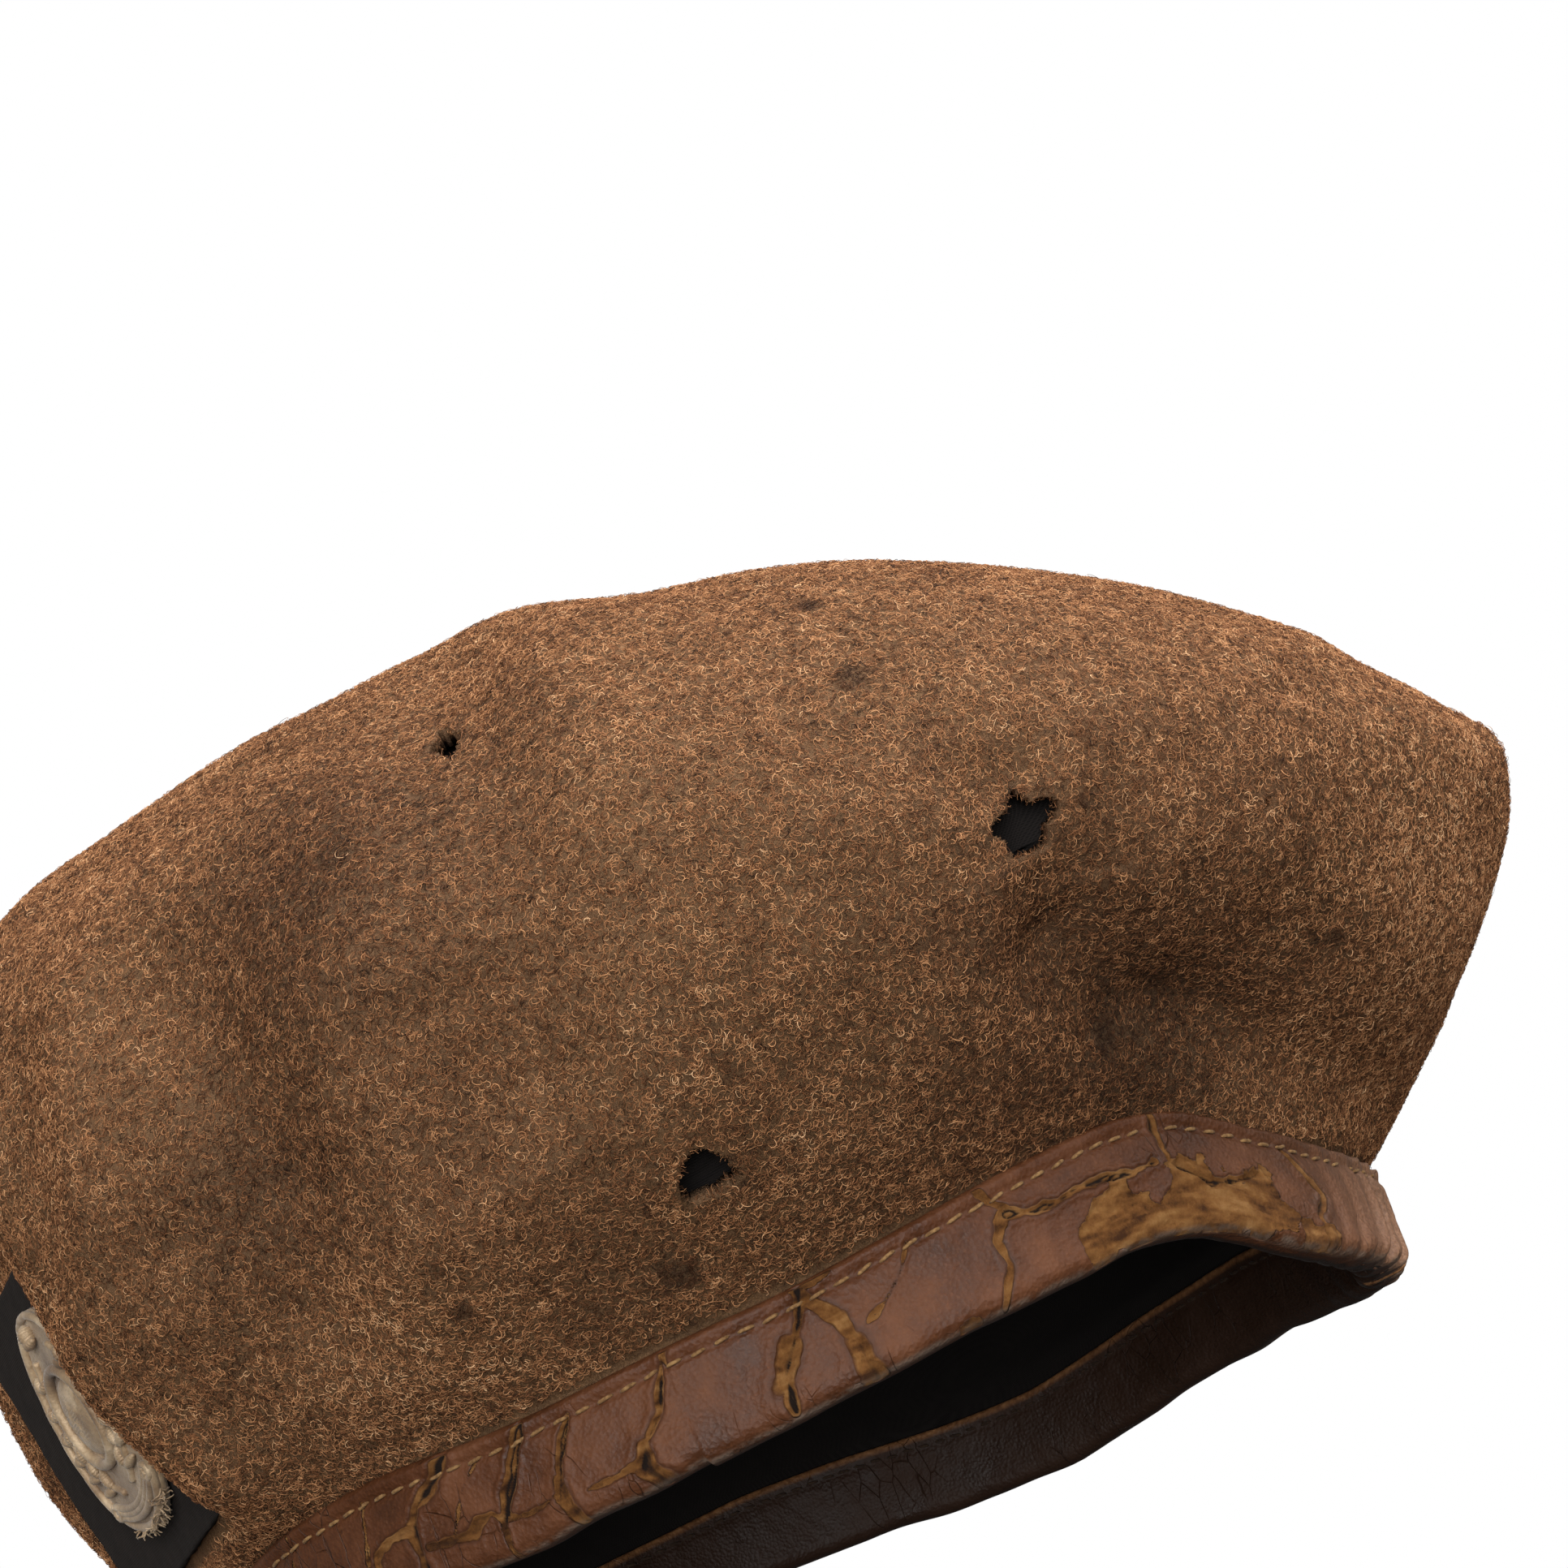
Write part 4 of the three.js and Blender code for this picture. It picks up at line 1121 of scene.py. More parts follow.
def make_lining(name, node, low, high, rows):
    columns = 200
    rises = np.linspace(low, high, rows)
    if low < 0:
        rises = np.concatenate([np.linspace(low, 0, 5, endpoint=False),
                                np.linspace(0, high, rows)])
    over_top = high >= 2
    angles = np.arange(columns) * 2 * math.pi / columns
    surface = crown.sample(angles[:, None], rises[None, :])
    normals = normalise(crown.sample(angles[:, None], rises[None, :], "normals"))
    edge = 1 - smoothstep(np.abs(rises - 1), 0.0, 0.05)
    inward = lining_depth(rises)[None, :] + slack(surface, rises[None, :]) * (1 - edge)
    points = surface - inward[..., None] * normals
    if over_top:
        points = np.concatenate([points[:, :-1].reshape(-1, 3), points[:1, -1]])
        faces = grid_faces(columns, len(rises) - 1, closed_across=True)
        last = len(rises) - 2
        stride = len(rises) - 1
        for i in range(columns):
            faces.append((i * stride + last, ((i + 1) % columns) * stride + last,
                          columns * stride))
    else:
        faces = grid_faces(columns, len(rises), closed_across=True)
    piece = new_mesh(name, points.reshape(-1, 3), faces)
    apply_modifier(piece, "SOLIDIFY", thickness=LINING_THICKNESS * MM, offset=-1)
    return finish_piece(piece, "cap", "lining_cloth", LINING, node)


make_lining("lining_side_cloth", "lining_side", -0.94, 0.985, 46)
make_lining("lining_crown_cloth", "lining_crown", 1.012, 2.0, 60)


# ---------------------------------------------------------------------------------------
# Leather binding
# ---------------------------------------------------------------------------------------

def arc_table():
    """Distance round the headband against angle, for spacing things evenly."""
    angle = np.linspace(0, 2 * math.pi, 2001)
    step = np.hypot(HALF_WIDTH * np.sin(angle), HALF_LENGTH * np.cos(angle))
    distance = np.concatenate([[0], np.cumsum((step[1:] + step[:-1]) / 2 * np.diff(angle))])
    return angle, distance


ARC_ANGLE, ARC_DISTANCE = arc_table()
BAND_LENGTH = ARC_DISTANCE[-1]


def band_distance(degrees):
    return np.interp(np.asarray(degrees) % 360, np.degrees(ARC_ANGLE), ARC_DISTANCE)


def band_angle(distance):
    return np.interp(np.asarray(distance) % BAND_LENGTH, ARC_DISTANCE, ARC_ANGLE)


# Cracks in the outer flap: a path of (angle, height), a half width and a depth.
CRACKS = [
    ([(-20, 14.4), (-22, 12), (-24.2, 10), (-25.2, 7.8), (-25.5, 5.5), (-25.5, 0)], 0.85, 1.0),
    ([(-25.8, 7.6), (-28, 7.5), (-30.2, 6.2), (-31, 2)], 0.5, 0.6),
    ([(-12.5, 14.5), (-13.8, 11.8), (-14.8, 9.2), (-16, 7), (-17, 4.6)], 0.6, 1.0),
    ([(-17, 4.6), (-17.2, 2.2), (-17.5, -0.5)], 0.35, 0.5),
    ([(-17, 4.8), (-17.8, 6), (-19, 5.8), (-20, 4.8), (-22.2, 4.6), (-24.4, 5)], 0.6, 0.6),
    ([(-17, 4.8), (-14.8, 4.2), (-13.2, 4.2), (-11.5, 4.6)], 0.4, 0.55),
    ([(-8.5, 13), (-9.5, 10.8), (-10.5, 8.2), (-11.2, 5.8), (-11.8, 3.8)], 0.55, 0.9),
    ([(-11.2, 6), (-11.3, 3.8), (-11, 1.8), (-10.8, -0.2)], 1.0, 0.6),
    ([(0.2, 14.6), (-0.8, 11.5), (-1.8, 8), (-3, 6.2), (-4, 5), (-4.5, 3)], 0.6, 1.0),
    ([(-3.9, 5), (-4.2, 2.5), (-3.5, 0)], 1.15, 0.75),
    ([(-4.2, 3.8), (-6, 3.5), (-7.5, 3.2), (-9.2, 3.2)], 0.35, 0.5),
    ([(11.5, 15.2), (11.2, 13.2), (10.5, 10.8), (9, 7.5), (8, 5.5), (7.6, 1)], 0.7, 1.0),
    ([(9.4, 8.4), (8.4, 6.6), (7.9, 5)], 1.5, 0.7),
    ([(11.5, 13), (13.4, 8.4), (14, 4.5)], 0.7, 0.5),
    ([(14, 4.8), (14, 2), (14.3, -0.2)], 1.4, 0.65),
    ([(20.5, 13), (19, 10), (17, 7.8), (15.2, 6.5)], 0.3, 0.5),
    ([(27.2, 14.2), (28.8, 10.8), (29, 10)], 0.35, 0.5),
    ([(28.4, 10.4), (27, 7.8), (27.2, 4.8), (26.3, 3), (25.5, 0.5)], 0.55, 0.55),
    ([(28.8, 10.2), (31.3, 9), (33.5, 8.8), (35.2, 9.2), (37.8, 8.8), (41, 8), (43.8, 8.6)],
     0.5, 0.9),
    ([(45.2, 14.8), (45.2, 12.8), (45, 9.8), (45, 8)], 0.6, 0.8),
    ([(45, 8.4), (46.8, 7.4), (48.5, 5.6), (51.5, 6.4), (54.8, 8.2)], 0.5, 0.9),
    ([(59.3, 12.2), (60.3, 10.8), (61.8, 8.5), (62.8, 6.8), (60.5, 4), (61, 0.5)], 0.6, 0.9),
    ([(-29.5, 12.8), (-30.2, 9.8), (-31.3, 6.2)], 0.25, 0.45),
    ([(-17, 12.8), (-19.8, 9), (-21.8, 4.8)], 0.22, 0.4),
    ([(-39.8, 14), (-41, 9), (-41, 0)], 0.4, 0.7),
    ([(118, 14), (120, 8), (119, 0)], 0.6, 0.9), ([(141, 13), (139, 6), (141, 0)], 0.5, 0.8),
    ([(163, 14), (165, 9), (164, 0)], 0.7, 1.0), ([(165, 6), (170, 5), (173, 6)], 0.4, 0.6),
    ([(190, 14), (188, 7), (189, 0)], 0.6, 0.9), ([(214, 12), (216, 6), (215, 1)], 0.4, 0.7),
    ([(243, 14), (241, 8), (243, 0)], 0.7, 1.0), ([(243, 7), (249, 6), (253, 7)], 0.4, 0.6),
    ([(266, 10), (268, 5), (267, 0)], 0.5, 0.8), ([(284, 14), (286, 7), (285, 0)], 0.6, 0.9),
    ([(302, 13), (300, 6), (301, 0)], 0.5, 0.8),
]

# Where the leather's face has torn away and left bare suede: a path and a half width.
WORN_PATCHES = [
    ([(36, 3.4), (41, 3.0), (45.5, 4.4), (50, 2.6), (54, 4.6)], 4.4),
    ([(58, 1.4), (62, 1.2)], 1.6),
    ([(11, 15.2), (14, 15.2)], 1.3),
    ([(22, 0.2), (23, 0.2)], 0.9),
    ([(170, 2.5), (177, 2.5)], 2.6), ([(226, 1.5), (232, 1.2)], 1.9),
    ([(272, 4), (276, 6)], 2.4),
]

# Scraps of the face that still cling inside the torn patch.
CLINGING = [([(40.6, 6.6), (43.8, 6.8), (42.4, 4.6)], 1.3)]


def band_path_distance(distance, height, path):
    """The least distance, in millimetres over the leather, to a path of (angle, height)."""
    pairs = np.array(path, float)
    along = band_distance(pairs[:, 0])
    along = along[0] + (along - along[0] + BAND_LENGTH / 2) % BAND_LENGTH - BAND_LENGTH / 2
    offset = (distance - along[0] + BAND_LENGTH / 2) % BAND_LENGTH - BAND_LENGTH / 2
    spots = np.stack([offset, height], -1)
    knots = np.stack([along - along[0], pairs[:, 1]], -1)
    return distance_to_path(spots, knots)


def crack_fields(distance, height):
    """How much each point of the outer flap lies in a crack's groove, whose bottom is also painted dark
    as painted shade, and is bare suede, and how far its edges curl up."""
    place = np.stack([distance, height, np.zeros_like(distance)], -1)
    wander = 0.34 * rough_noise(place, 2.6, 3, seed=41)
    uneven = 1 + 0.35 * noise(place, 3.5, seed=42)
    groove_and_shade = np.zeros_like(distance)
    bare = np.zeros_like(distance)
    curl = np.zeros_like(distance)
    for path, width, depth in CRACKS:
        away = band_path_distance(distance, height, path) + wander
        reach = np.abs(away) / (width * uneven)
        groove_and_shade = np.maximum(groove_and_shade, depth * np.exp(-(reach / 0.55) ** 2))
        bare = np.maximum(bare, np.exp(-(reach / 1.25) ** 2))
        curl = np.maximum(curl, 0.3 * depth * np.exp(-((reach - 1.9) / 0.7) ** 2))
    ragged = 0.42 * rough_noise(place, 3.0, 4, seed=48)
    torn = np.zeros_like(distance)
    for path, width in WORN_PATCHES:
        reach = band_path_distance(distance, height, path) / width + ragged
        torn = np.maximum(torn, 1 - smoothstep(reach, 0.82, 1.0))
    for path, width in CLINGING:
        reach = band_path_distance(distance, height, path) / width + ragged
        torn = np.minimum(torn, smoothstep(reach, 0.8, 1.0))
    fringe = np.clip(4 * torn * (1 - torn), 0, 1)
    bare = np.maximum(bare, torn)
    return groove_and_shade, bare, curl + 0.3 * fringe, torn


def gather(distance):
    """How strongly the cord gathers the leather, near the back opening."""
    away = (distance - band_distance(88) + BAND_LENGTH / 2) % BAND_LENGTH - BAND_LENGTH / 2
    return np.exp(-(away / 30.0) ** 2)


def binding_section():
    """The folded leather in section: distance out, height, and which part it is."""
    top = BAND_HEIGHT
    rows = []

    def run(a, b, count, part):
        for k in range(count):
            t = k / count
            rows.append((a[0] + (b[0] - a[0]) * t, a[1] + (b[1] - a[1]) * t, part))

    def bend(middle, radius, start, end, count, part):
        for k in range(count):
            turn = math.radians(start + (end - start) * k / count)
            rows.append((middle[0] + radius * math.cos(turn),
                         middle[1] + radius * math.sin(turn), part))

    fold = 2.4
    lip = LEATHER / 2
    bend((LEATHER_OUT - lip, top - lip), lip, 180, 0, 6, "raw")
    run((LEATHER_OUT, top - lip), (LEATHER_OUT, fold), 44, "outer")
    bend((LEATHER_OUT - fold, fold), fold, 0, -90, 10, "outer")
    run((LEATHER_OUT - fold, 0), (LEATHER_IN + fold, 0), 3, "inner")
    bend((LEATHER_IN + fold, fold), fold, -90, -180, 6, "inner")
    run((LEATHER_IN, fold), (LEATHER_IN, top - lip), 14, "inner")
    bend((LEATHER_IN + lip, top - lip), lip, 180, 0, 5, "raw")
    tuck = fold + LEATHER
    run((LEATHER_IN + LEATHER, top - lip), (LEATHER_IN + LEATHER, tuck), 4, "hidden")
    run((LEATHER_IN + LEATHER, tuck - 1.5), (LEATHER_OUT - LEATHER, tuck - 1.5), 3, "hidden")
    run((LEATHER_OUT - LEATHER, tuck), (LEATHER_OUT - LEATHER, top - lip), 4, "hidden")
    return rows


THREAD_HEIGHT = 12.6


def binding_surface(distance, out, height, part):
    """Places a point of the binding, with its wear, on the sagging headband."""
    angle = band_angle(distance)
    place = np.stack([distance, height, np.full_like(distance, 3.0)], -1)
    groove_and_shade, bare, curl, torn = crack_fields(distance, height)
    is_outer = part == "outer"
    is_inner = part == "inner"
    face = np.where(out > -1.7, 1.0, -1.0)
    push = 0.22 * rough_noise(place, 8, 2, seed=43) + 0.07 * rough_noise(place, 1.6, 2, seed=44)
    channel = np.exp(-((height - THREAD_HEIGHT) / 0.55) ** 2)
    lip = np.exp(-((height - 14.1) / 0.75) ** 2)
    dressed = np.where(is_outer | is_inner, 1.0, 0.0)
    push = push + dressed * (0.32 * lip - 0.32 * channel)
    outer_only = np.where(is_outer, 1.0, 0.0)
    fibrous = torn * (0.30 * rough_noise(place * np.array([0.35, 1, 1]), 1.2, 3, seed=49) - 0.38)
    push = push + outer_only * (curl - 0.85 * groove_and_shade + fibrous)
    slope = distance - 0.30 * (height - 7) + 0.055 * (height - 7) ** 2
    pleat = np.sin(slope * 2 * math.pi / 7.6 + 1.4 * noise(place, 11, seed=45))
    pleat = gather(distance) * (pleat + 0.25 * np.sin(slope * 2 * math.pi / 3.3))
    low = 1 - smoothstep(height, 2, 13)
    push = push + dressed * pleat * (0.48 + 0.62 * low)
    sway = 0.5 * noise(place * np.array([1, 0, 0]), 21, seed=46)
    lean = -1.5 * gather(distance) * low
    spot = wall_point(angle, height) \
        + (out + push * face + sway * low + lean)[..., None] * wall_normal(angle)
    tall = height / BAND_HEIGHT
    spot[..., 2] += tall * np.interp(np.degrees(angle), FLAP_DEGREES, FLAP_CURVE, period=360)
    spot[..., 2] += 0.3 * noise(place * np.array([1, 0, 0]), 9, seed=47) * (1 - tall)
    return sag(spot, angle), groove_and_shade * outer_only, bare * outer_only


# How much taller the flaps stand than their cut height, where the leather has stretched.
FLAP_DEGREES, FLAP_CURVE = smooth_round([(-70, 0), (-48, 1.0), (-28, 1.4), (-16, 0.6), (-8, 0),
                                         (20, 0.2), (34, 1.3), (44, 1.8), (58, 2.2), (72, 0.8),
                                         (90, 0), (270, 0)], 4.0)


def binding_columns():
    """Distances round the band, closest together where the leather is most worn."""
    half = BACK_OPENING / 2
    start = band_distance(90) + half
    end = start + BAND_LENGTH - 2 * half
    fine_from = BAND_LENGTH + band_distance(-48) - BAND_LENGTH * (band_distance(-48) > start)
    coarse = np.arange(start, fine_from, 0.5)
    fine = np.arange(fine_from, end, 0.24)
    return np.concatenate([coarse, fine, [end]]) % BAND_LENGTH


def make_binding():
    section = binding_section()
    distance = binding_columns()
    columns, rows = len(distance), len(section)
    out = np.array([r[0] for r in section])
    height = np.array([r[1] for r in section])
    part = np.array([r[2] for r in section])
    grid = np.repeat(distance[:, None], rows, 1)
    points, groove_and_shade, bare = binding_surface(
        grid, np.broadcast_to(out, grid.shape), np.broadcast_to(height, grid.shape),
        np.broadcast_to(part, grid.shape))
    faces = grid_faces(columns, rows, closed_up=True)
    last = (columns - 1) * rows
    faces.append(tuple(range(rows)))
    faces.append(tuple(last + k for k in reversed(range(rows))))
    piece = outward_faces(new_mesh("leather_band", points.reshape(-1, 3), faces))
    set_attribute(piece, "groove_and_shade", groove_and_shade)
    set_attribute(piece, "bare", bare)
    place = np.stack(np.broadcast_arrays(grid, height, 0.0), -1) * np.array([0.28, 1.2, 1.0])
    set_attribute(piece, "grain", 0.5 + 0.20 * rough_noise(place, 1.0, 3, seed=48))
    inner_lip = np.broadcast_to((part == "raw") & (out < 0), grid.shape).astype(float)
    ends = np.zeros(grid.shape)
    ends[:3] = 1
    ends[-3:] = 1
    set_attribute(piece, "raw", np.maximum(0.75 * inner_lip, ends))
    inside = np.broadcast_to((part == "inner") & (out < -2), grid.shape).astype(float)
    set_attribute(piece, "inside", 0.85 * inside)
    foot = np.exp(-((height - 0.25) / 0.3) ** 2) * (out > -1)
    set_attribute(piece, "edge", np.broadcast_to(foot, grid.shape))
    worn = gather(grid) * ((part == "outer") | (out > -1.0))
    set_attribute(piece, "worn", worn)
    return finish_piece(piece, "cap", "dark_leather", LEATHER_SKIN, "leather_binding")


make_binding()


def make_stitches(name, node, face_out, side, seed, material):
    """Lockstitches along the binding, each a short arched run of thread."""
    rng = np.random.default_rng(seed)
    pitch = 3.25
    half = BACK_OPENING / 2 + 1.5
    start = band_distance(90) + half
    count = int((BAND_LENGTH - 2 * half) / pitch)
    points, faces = [], []
    for k in range(count):
        middle = (start + (k + 0.5) * pitch) % BAND_LENGTH
        if rng.random() < 0.02:
            continue
        length = rng.uniform(1.95, 2.35)
        tilt = rng.normal(0.10, 0.05)
        t = np.linspace(-0.5, 0.5, 7)
        distance = middle + t * length
        height = THREAD_HEIGHT + t * length * tilt + rng.normal(0, 0.05)
        arch = 0.34 * (1 - (2 * t) ** 4) - 0.42
        part = np.array(["outer" if side > 0 else "inner"] * len(t))
        path, _, _ = binding_surface(distance % BAND_LENGTH, face_out + side * arch,
                                        height, part)
        path = path + 0.34 * side * wall_normal(band_angle(distance % BAND_LENGTH))
        radius = 0.27 * np.sqrt(np.clip(1 - (2 * t * 0.93) ** 4, 0.1, 1))
        add_tube(points, faces, tube_rings(path, radius, 7))
    piece = outward_faces(new_mesh(name, np.array(points), faces))
    return finish_piece(piece, "cap", "tan_thread", material, node)


make_stitches("band_stitches_outer", "binding_stitching_outer", LEATHER_OUT, 1, 51,
              TAN_THREAD)
make_stitches("band_stitches_inner", "binding_stitching_inner", LEATHER_IN, -1, 52,
              SOILED_THREAD)


# ---------------------------------------------------------------------------------------
# Drawcord and its tails
# ---------------------------------------------------------------------------------------

CORD_RADIUS = 1.1


def braided_rings(path, radius, pitch=3.4, sides=24):
    """A plaited cord: strands wind both ways over a round core."""
    path = np.asarray(path, float)
    run = np.concatenate([[0], np.cumsum(np.linalg.norm(np.diff(path, axis=0), axis=1))])
    turn = np.arange(sides) * 2 * math.pi / sides
    wind = 2 * math.pi * run[:, None] / pitch
    over = np.maximum(np.cos(3 * turn[None, :] - 1.5 * wind),
                      np.cos(3 * turn[None, :] + 1.5 * wind))
    base = np.asarray(radius, float)
    base = base[:, None] if base.ndim else base
    return tube_rings(path, base * (0.86 + 0.14 * over), sides)


def make_drawcord():
    half = BACK_OPENING / 2
    distance = band_distance(90) + half + np.linspace(0, BAND_LENGTH - 2 * half, 1400)
    angle = band_angle(distance % BAND_LENGTH)
    height = np.full_like(angle, LEATHER + 0.3 + CORD_RADIUS)
    middle = (LEATHER_OUT + LEATHER_IN) / 2
    path = sag(wall_point(angle, height) + middle * wall_normal(angle), angle)
    points, faces = [], []
    add_tube(points, faces, braided_rings(path, CORD_RADIUS * 0.9, sides=12))
    piece = outward_faces(new_mesh("drawcord_braid", np.array(points), faces))
    return finish_piece(piece, "cap", "cotton_cord", CORD, "drawcord")


def make_tail(side, label):
    """One cord end with an overhand knot and a short frayed tip."""
    low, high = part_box(f"drawcord_tail_{label}")
    foot = np.array([side * 1.5, 0, low.z / MM])
    foot[1] = (low.y + high.y) / 2 / MM - BAND_MIDDLE[1]
    lean = math.radians(1.5) * side
    direction = np.array([math.sin(lean), 0, math.cos(lean)])
    run = np.linspace(0, 42, 150)
    knot = np.exp(-((run - 35) / 2.0) ** 4)
    sway = 0.18 * np.sin(run * 0.55)
    path = foot + run[:, None] * direction
    path[:, 1] += sway * (1 - knot)
    coil = 2 * math.pi * (run - 32.5) / 2.6
    path[:, 0] += 0.55 * knot * np.sin(coil)
    path[:, 1] += 0.55 * knot * np.cos(coil)
    radius = CORD_RADIUS * (0.92 + 0.28 * knot) * (1 - 0.5 * smoothstep(run, 39.5, 42))
    points, faces = [], []
    add_tube(points, faces, braided_rings(path, radius))
    rng = np.random.default_rng(60 + side)
    for _ in range(26):
        turn = rng.uniform(0, 2 * math.pi)
        spread = rng.uniform(0.05, 0.35)
        t = np.linspace(0, 1, 6)
        root = foot + direction * 41.0
        ray = np.array([math.cos(turn) * spread, math.sin(turn) * spread, 1.0])
        strand = root + t[:, None] * ray * rng.uniform(0.6, 1.3)
        add_tube(points, faces, tube_rings(strand, np.linspace(0.12, 0.04, 6), 4,
                                           ups=np.tile([0.0, 1.0, 0.0], (6, 1))))
    piece = outward_faces(new_mesh(f"drawcord_tail_braid_{label}", np.array(points), faces))
    return finish_piece(piece, f"tail_{label}", "cotton_cord", CORD, f"drawcord_tail_{label}")


make_drawcord()
make_tail(1, "left")
make_tail(-1, "right")


# ---------------------------------------------------------------------------------------
# Ventilation eyelets
# ---------------------------------------------------------------------------------------

EYELET_ANGLES = {"rear": 171, "front": 189}
EYELET_RISE = 0.42


def turned_piece(name, profile, sides, node):
    """A ring turned from (radius, height) pairs, stood where its CAD node is."""
    degrees = EYELET_ANGLES[node.rsplit("_", 1)[1]]
    middle, sideways, upward, outward = on_crown(degrees, EYELET_RISE)
    profile = np.array(profile)
    turn = np.arange(sides) * 2 * math.pi / sides
    ring = (np.cos(turn)[:, None, None] * sideways + np.sin(turn)[:, None, None] * upward)
    points = middle + profile[None, :, :1] * ring + profile[None, :, 1:] * outward
    faces = grid_faces(sides, len(profile), closed_across=True, closed_up=True)
    piece = outward_faces(new_mesh(name, points.reshape(-1, 3), faces))
    return finish_piece(piece, "cap", "blackened_metal", METAL, node)


def arc(middle, radius, start, end, count):
    turn = np.radians(np.linspace(start, end, count))
    return [(middle[0] + radius * math.cos(t), middle[1] + radius * math.sin(t)) for t in turn]


def eyelet_profile():
    """A domed flange, a barrel through felt and lining, and a rolled end."""
    bore, barrel, flange = 2.2, 2.75, 4.6
    deep = -6.4
    return (arc((3.4, 0.25), 1.2, 178, 90, 8) + arc((3.4, 0.25), 1.2, 90, 0, 8)
            + [(flange - 0.1, 0.1), (barrel + 0.5, 0.12), (barrel, -0.1), (barrel, -5.6)]
            + arc((barrel + 0.1, -6.0), 0.45, 80, -90, 6) + [(bore + 0.2, deep), (bore, -6.0)])


def washer_profile():
    return ([(3.2, -5.6), (3.2, -5.2)] + arc((4.2, -5.3), 0.4, 120, 60, 4)
            + [(5.2, -5.3), (5.2, -5.6)])


for end in ("rear", "front"):
    turned_piece(f"eyelet_ring_{end}", eyelet_profile(), 48, f"eyelet_{end}")
    turned_piece(f"eyelet_back_{end}", washer_profile(), 48, f"eyelet_washer_{end}")


# ---------------------------------------------------------------------------------------
# Badge
# ---------------------------------------------------------------------------------------

BACKING_WIDTH, BACKING_HEIGHT = 44.0, 50.0
BACKING_TOP = 0.6 + 1.4
BASE_WIDTH, BASE_HEIGHT, BASE_THICKNESS = 27.0, 38.0, 1.4
BASE_PAD = 0.35
BASE_ASIDE = 2.5
RELIEF = 0.55
BOARD_WIDTH, BOARD_HEIGHT, BOARD_THICKNESS = 34.0, 40.0, 0.7
BOARD_GAP = 0.75


def on_panel(x, y, z):
    """Badge coordinates, with z out from the felt, to band millimetres, with the patch
    bowed a little to follow the crown and carried by the band's sag."""
    x, y, z = np.broadcast_arrays(np.asarray(x, float), np.asarray(y, float),
                                  np.asarray(z, float))
    bow = -0.0008 * x * x - 0.0005 * y * y
    points = (PANEL_MIDDLE + x[..., None] * PANEL_SIDEWAYS + y[..., None] * PANEL_UPWARD
              + (z + bow + 0.35)[..., None] * PANEL_OUTWARD)
    return sag(points, np.arctan2(points[..., 1], points[..., 0]))


def on_badge(x, y, z):
    """The same for the embroidery, which is sewn a little to the rear of the patch."""
    return on_panel(np.asarray(x, float) + BASE_ASIDE, y, z)


def make_backing():
    """The black cloth patch: wavy, drooping to the rear, its front edge lifting."""
    columns, rows = 90, 100
    u = np.linspace(-1, 1, columns)[:, None]
    v = np.linspace(-1, 1, rows)[None, :]
    corner = 1 - 0.05 * (u * v) ** 8
    place = np.stack(np.broadcast_arrays(u * 22, v * 25, u * 0), -1)
    ragged = 0.35 * rough_noise(place, 2.2, 3, seed=71)
    edge = np.maximum(np.abs(u), np.abs(v)) ** 12
    x = u * BACKING_WIDTH / 2 * corner * (1 + 0.01 * edge * ragged)
    y = v * BACKING_HEIGHT / 2 * corner * (1 + 0.01 * edge * ragged)
    wave = 0.22 * rough_noise(place, 12, 2, seed=72) * np.clip(np.abs(u), 0.2, 1)
    droop = -0.9 * np.clip((u - 0.6) / 0.4, 0, 1) ** 2
    lift = 1.5 * np.clip(-u, 0, 1) ** 2
    z = BACKING_TOP - 0.5 + droop + lift + wave + 0.06 * rough_noise(place, 1.2, 2)
    top = on_panel(x + np.minimum(2.5 * u, 0), y, z)
    faces = grid_faces(columns, rows)
    piece = new_mesh("badge_patch", top.reshape(-1, 3), faces)
    apply_modifier(piece, "SOLIDIFY", thickness=1.15 * MM, offset=-1)
    return finish_piece(piece, "cap", "black_cloth", BACKING, "badge_backing")


def base_outline(turn, grow=0.0):
    taper = 1 - 0.16 * np.sin(turn)
    return ((BASE_WIDTH / 2 + grow) * np.cos(turn) * taper,
            (BASE_HEIGHT / 2 + grow) * np.sin(turn))


def make_base():
    """The padded plaque, laid with side-by-side threads."""
    around, rings = 220, 46
    turn = np.arange(around)[:, None] * 2 * math.pi / around
    share = np.sqrt(np.linspace(0.0, 1, rings))[None, :]
    x, y = base_outline(turn)
    x, y = x * share, y * share
    pad = 1.3 * np.sqrt(np.clip(1 - share ** 4, 0, 1))
    thread = 0.16 * np.abs(np.sin((y + 0.15 * np.sin(x * 0.9)) * math.pi / 0.62))
    edge = np.clip(1 - share ** 12, 0, 1)
    z = BACKING_TOP + BASE_PAD + BASE_THICKNESS * (0.45 + 0.25 * pad) + thread * edge
    top = on_badge(x, y, z)
    low = on_badge(x[:, -1:], y[:, -1:], BACKING_TOP + 0.1)
    grid = np.concatenate([top, low], 1)
    rows = grid.shape[1]
    faces = grid_faces(around, rows, closed_across=True)
    faces.append(tuple(i * rows + rows - 1 for i in range(around)))
    piece = new_mesh("badge_plaque", grid.reshape(-1, 3), faces)
    mesh = bmesh.new()
    mesh.from_mesh(piece.data)
    bmesh.ops.remove_doubles(mesh, verts=mesh.verts, dist=1e-6)
    mesh.to_mesh(piece.data)
    mesh.free()
    outward_faces(piece)
    # Painted shade on the low plaque between the raised rolls.
    set_attribute(piece, "recess_shade", np.full(len(piece.data.vertices), 0.1))
    return finish_piece(piece, "cap", "pale_thread", EMBROIDERY, "badge_base")


BASE_TOP = BACKING_TOP + BASE_PAD + BASE_THICKNESS * 0.75


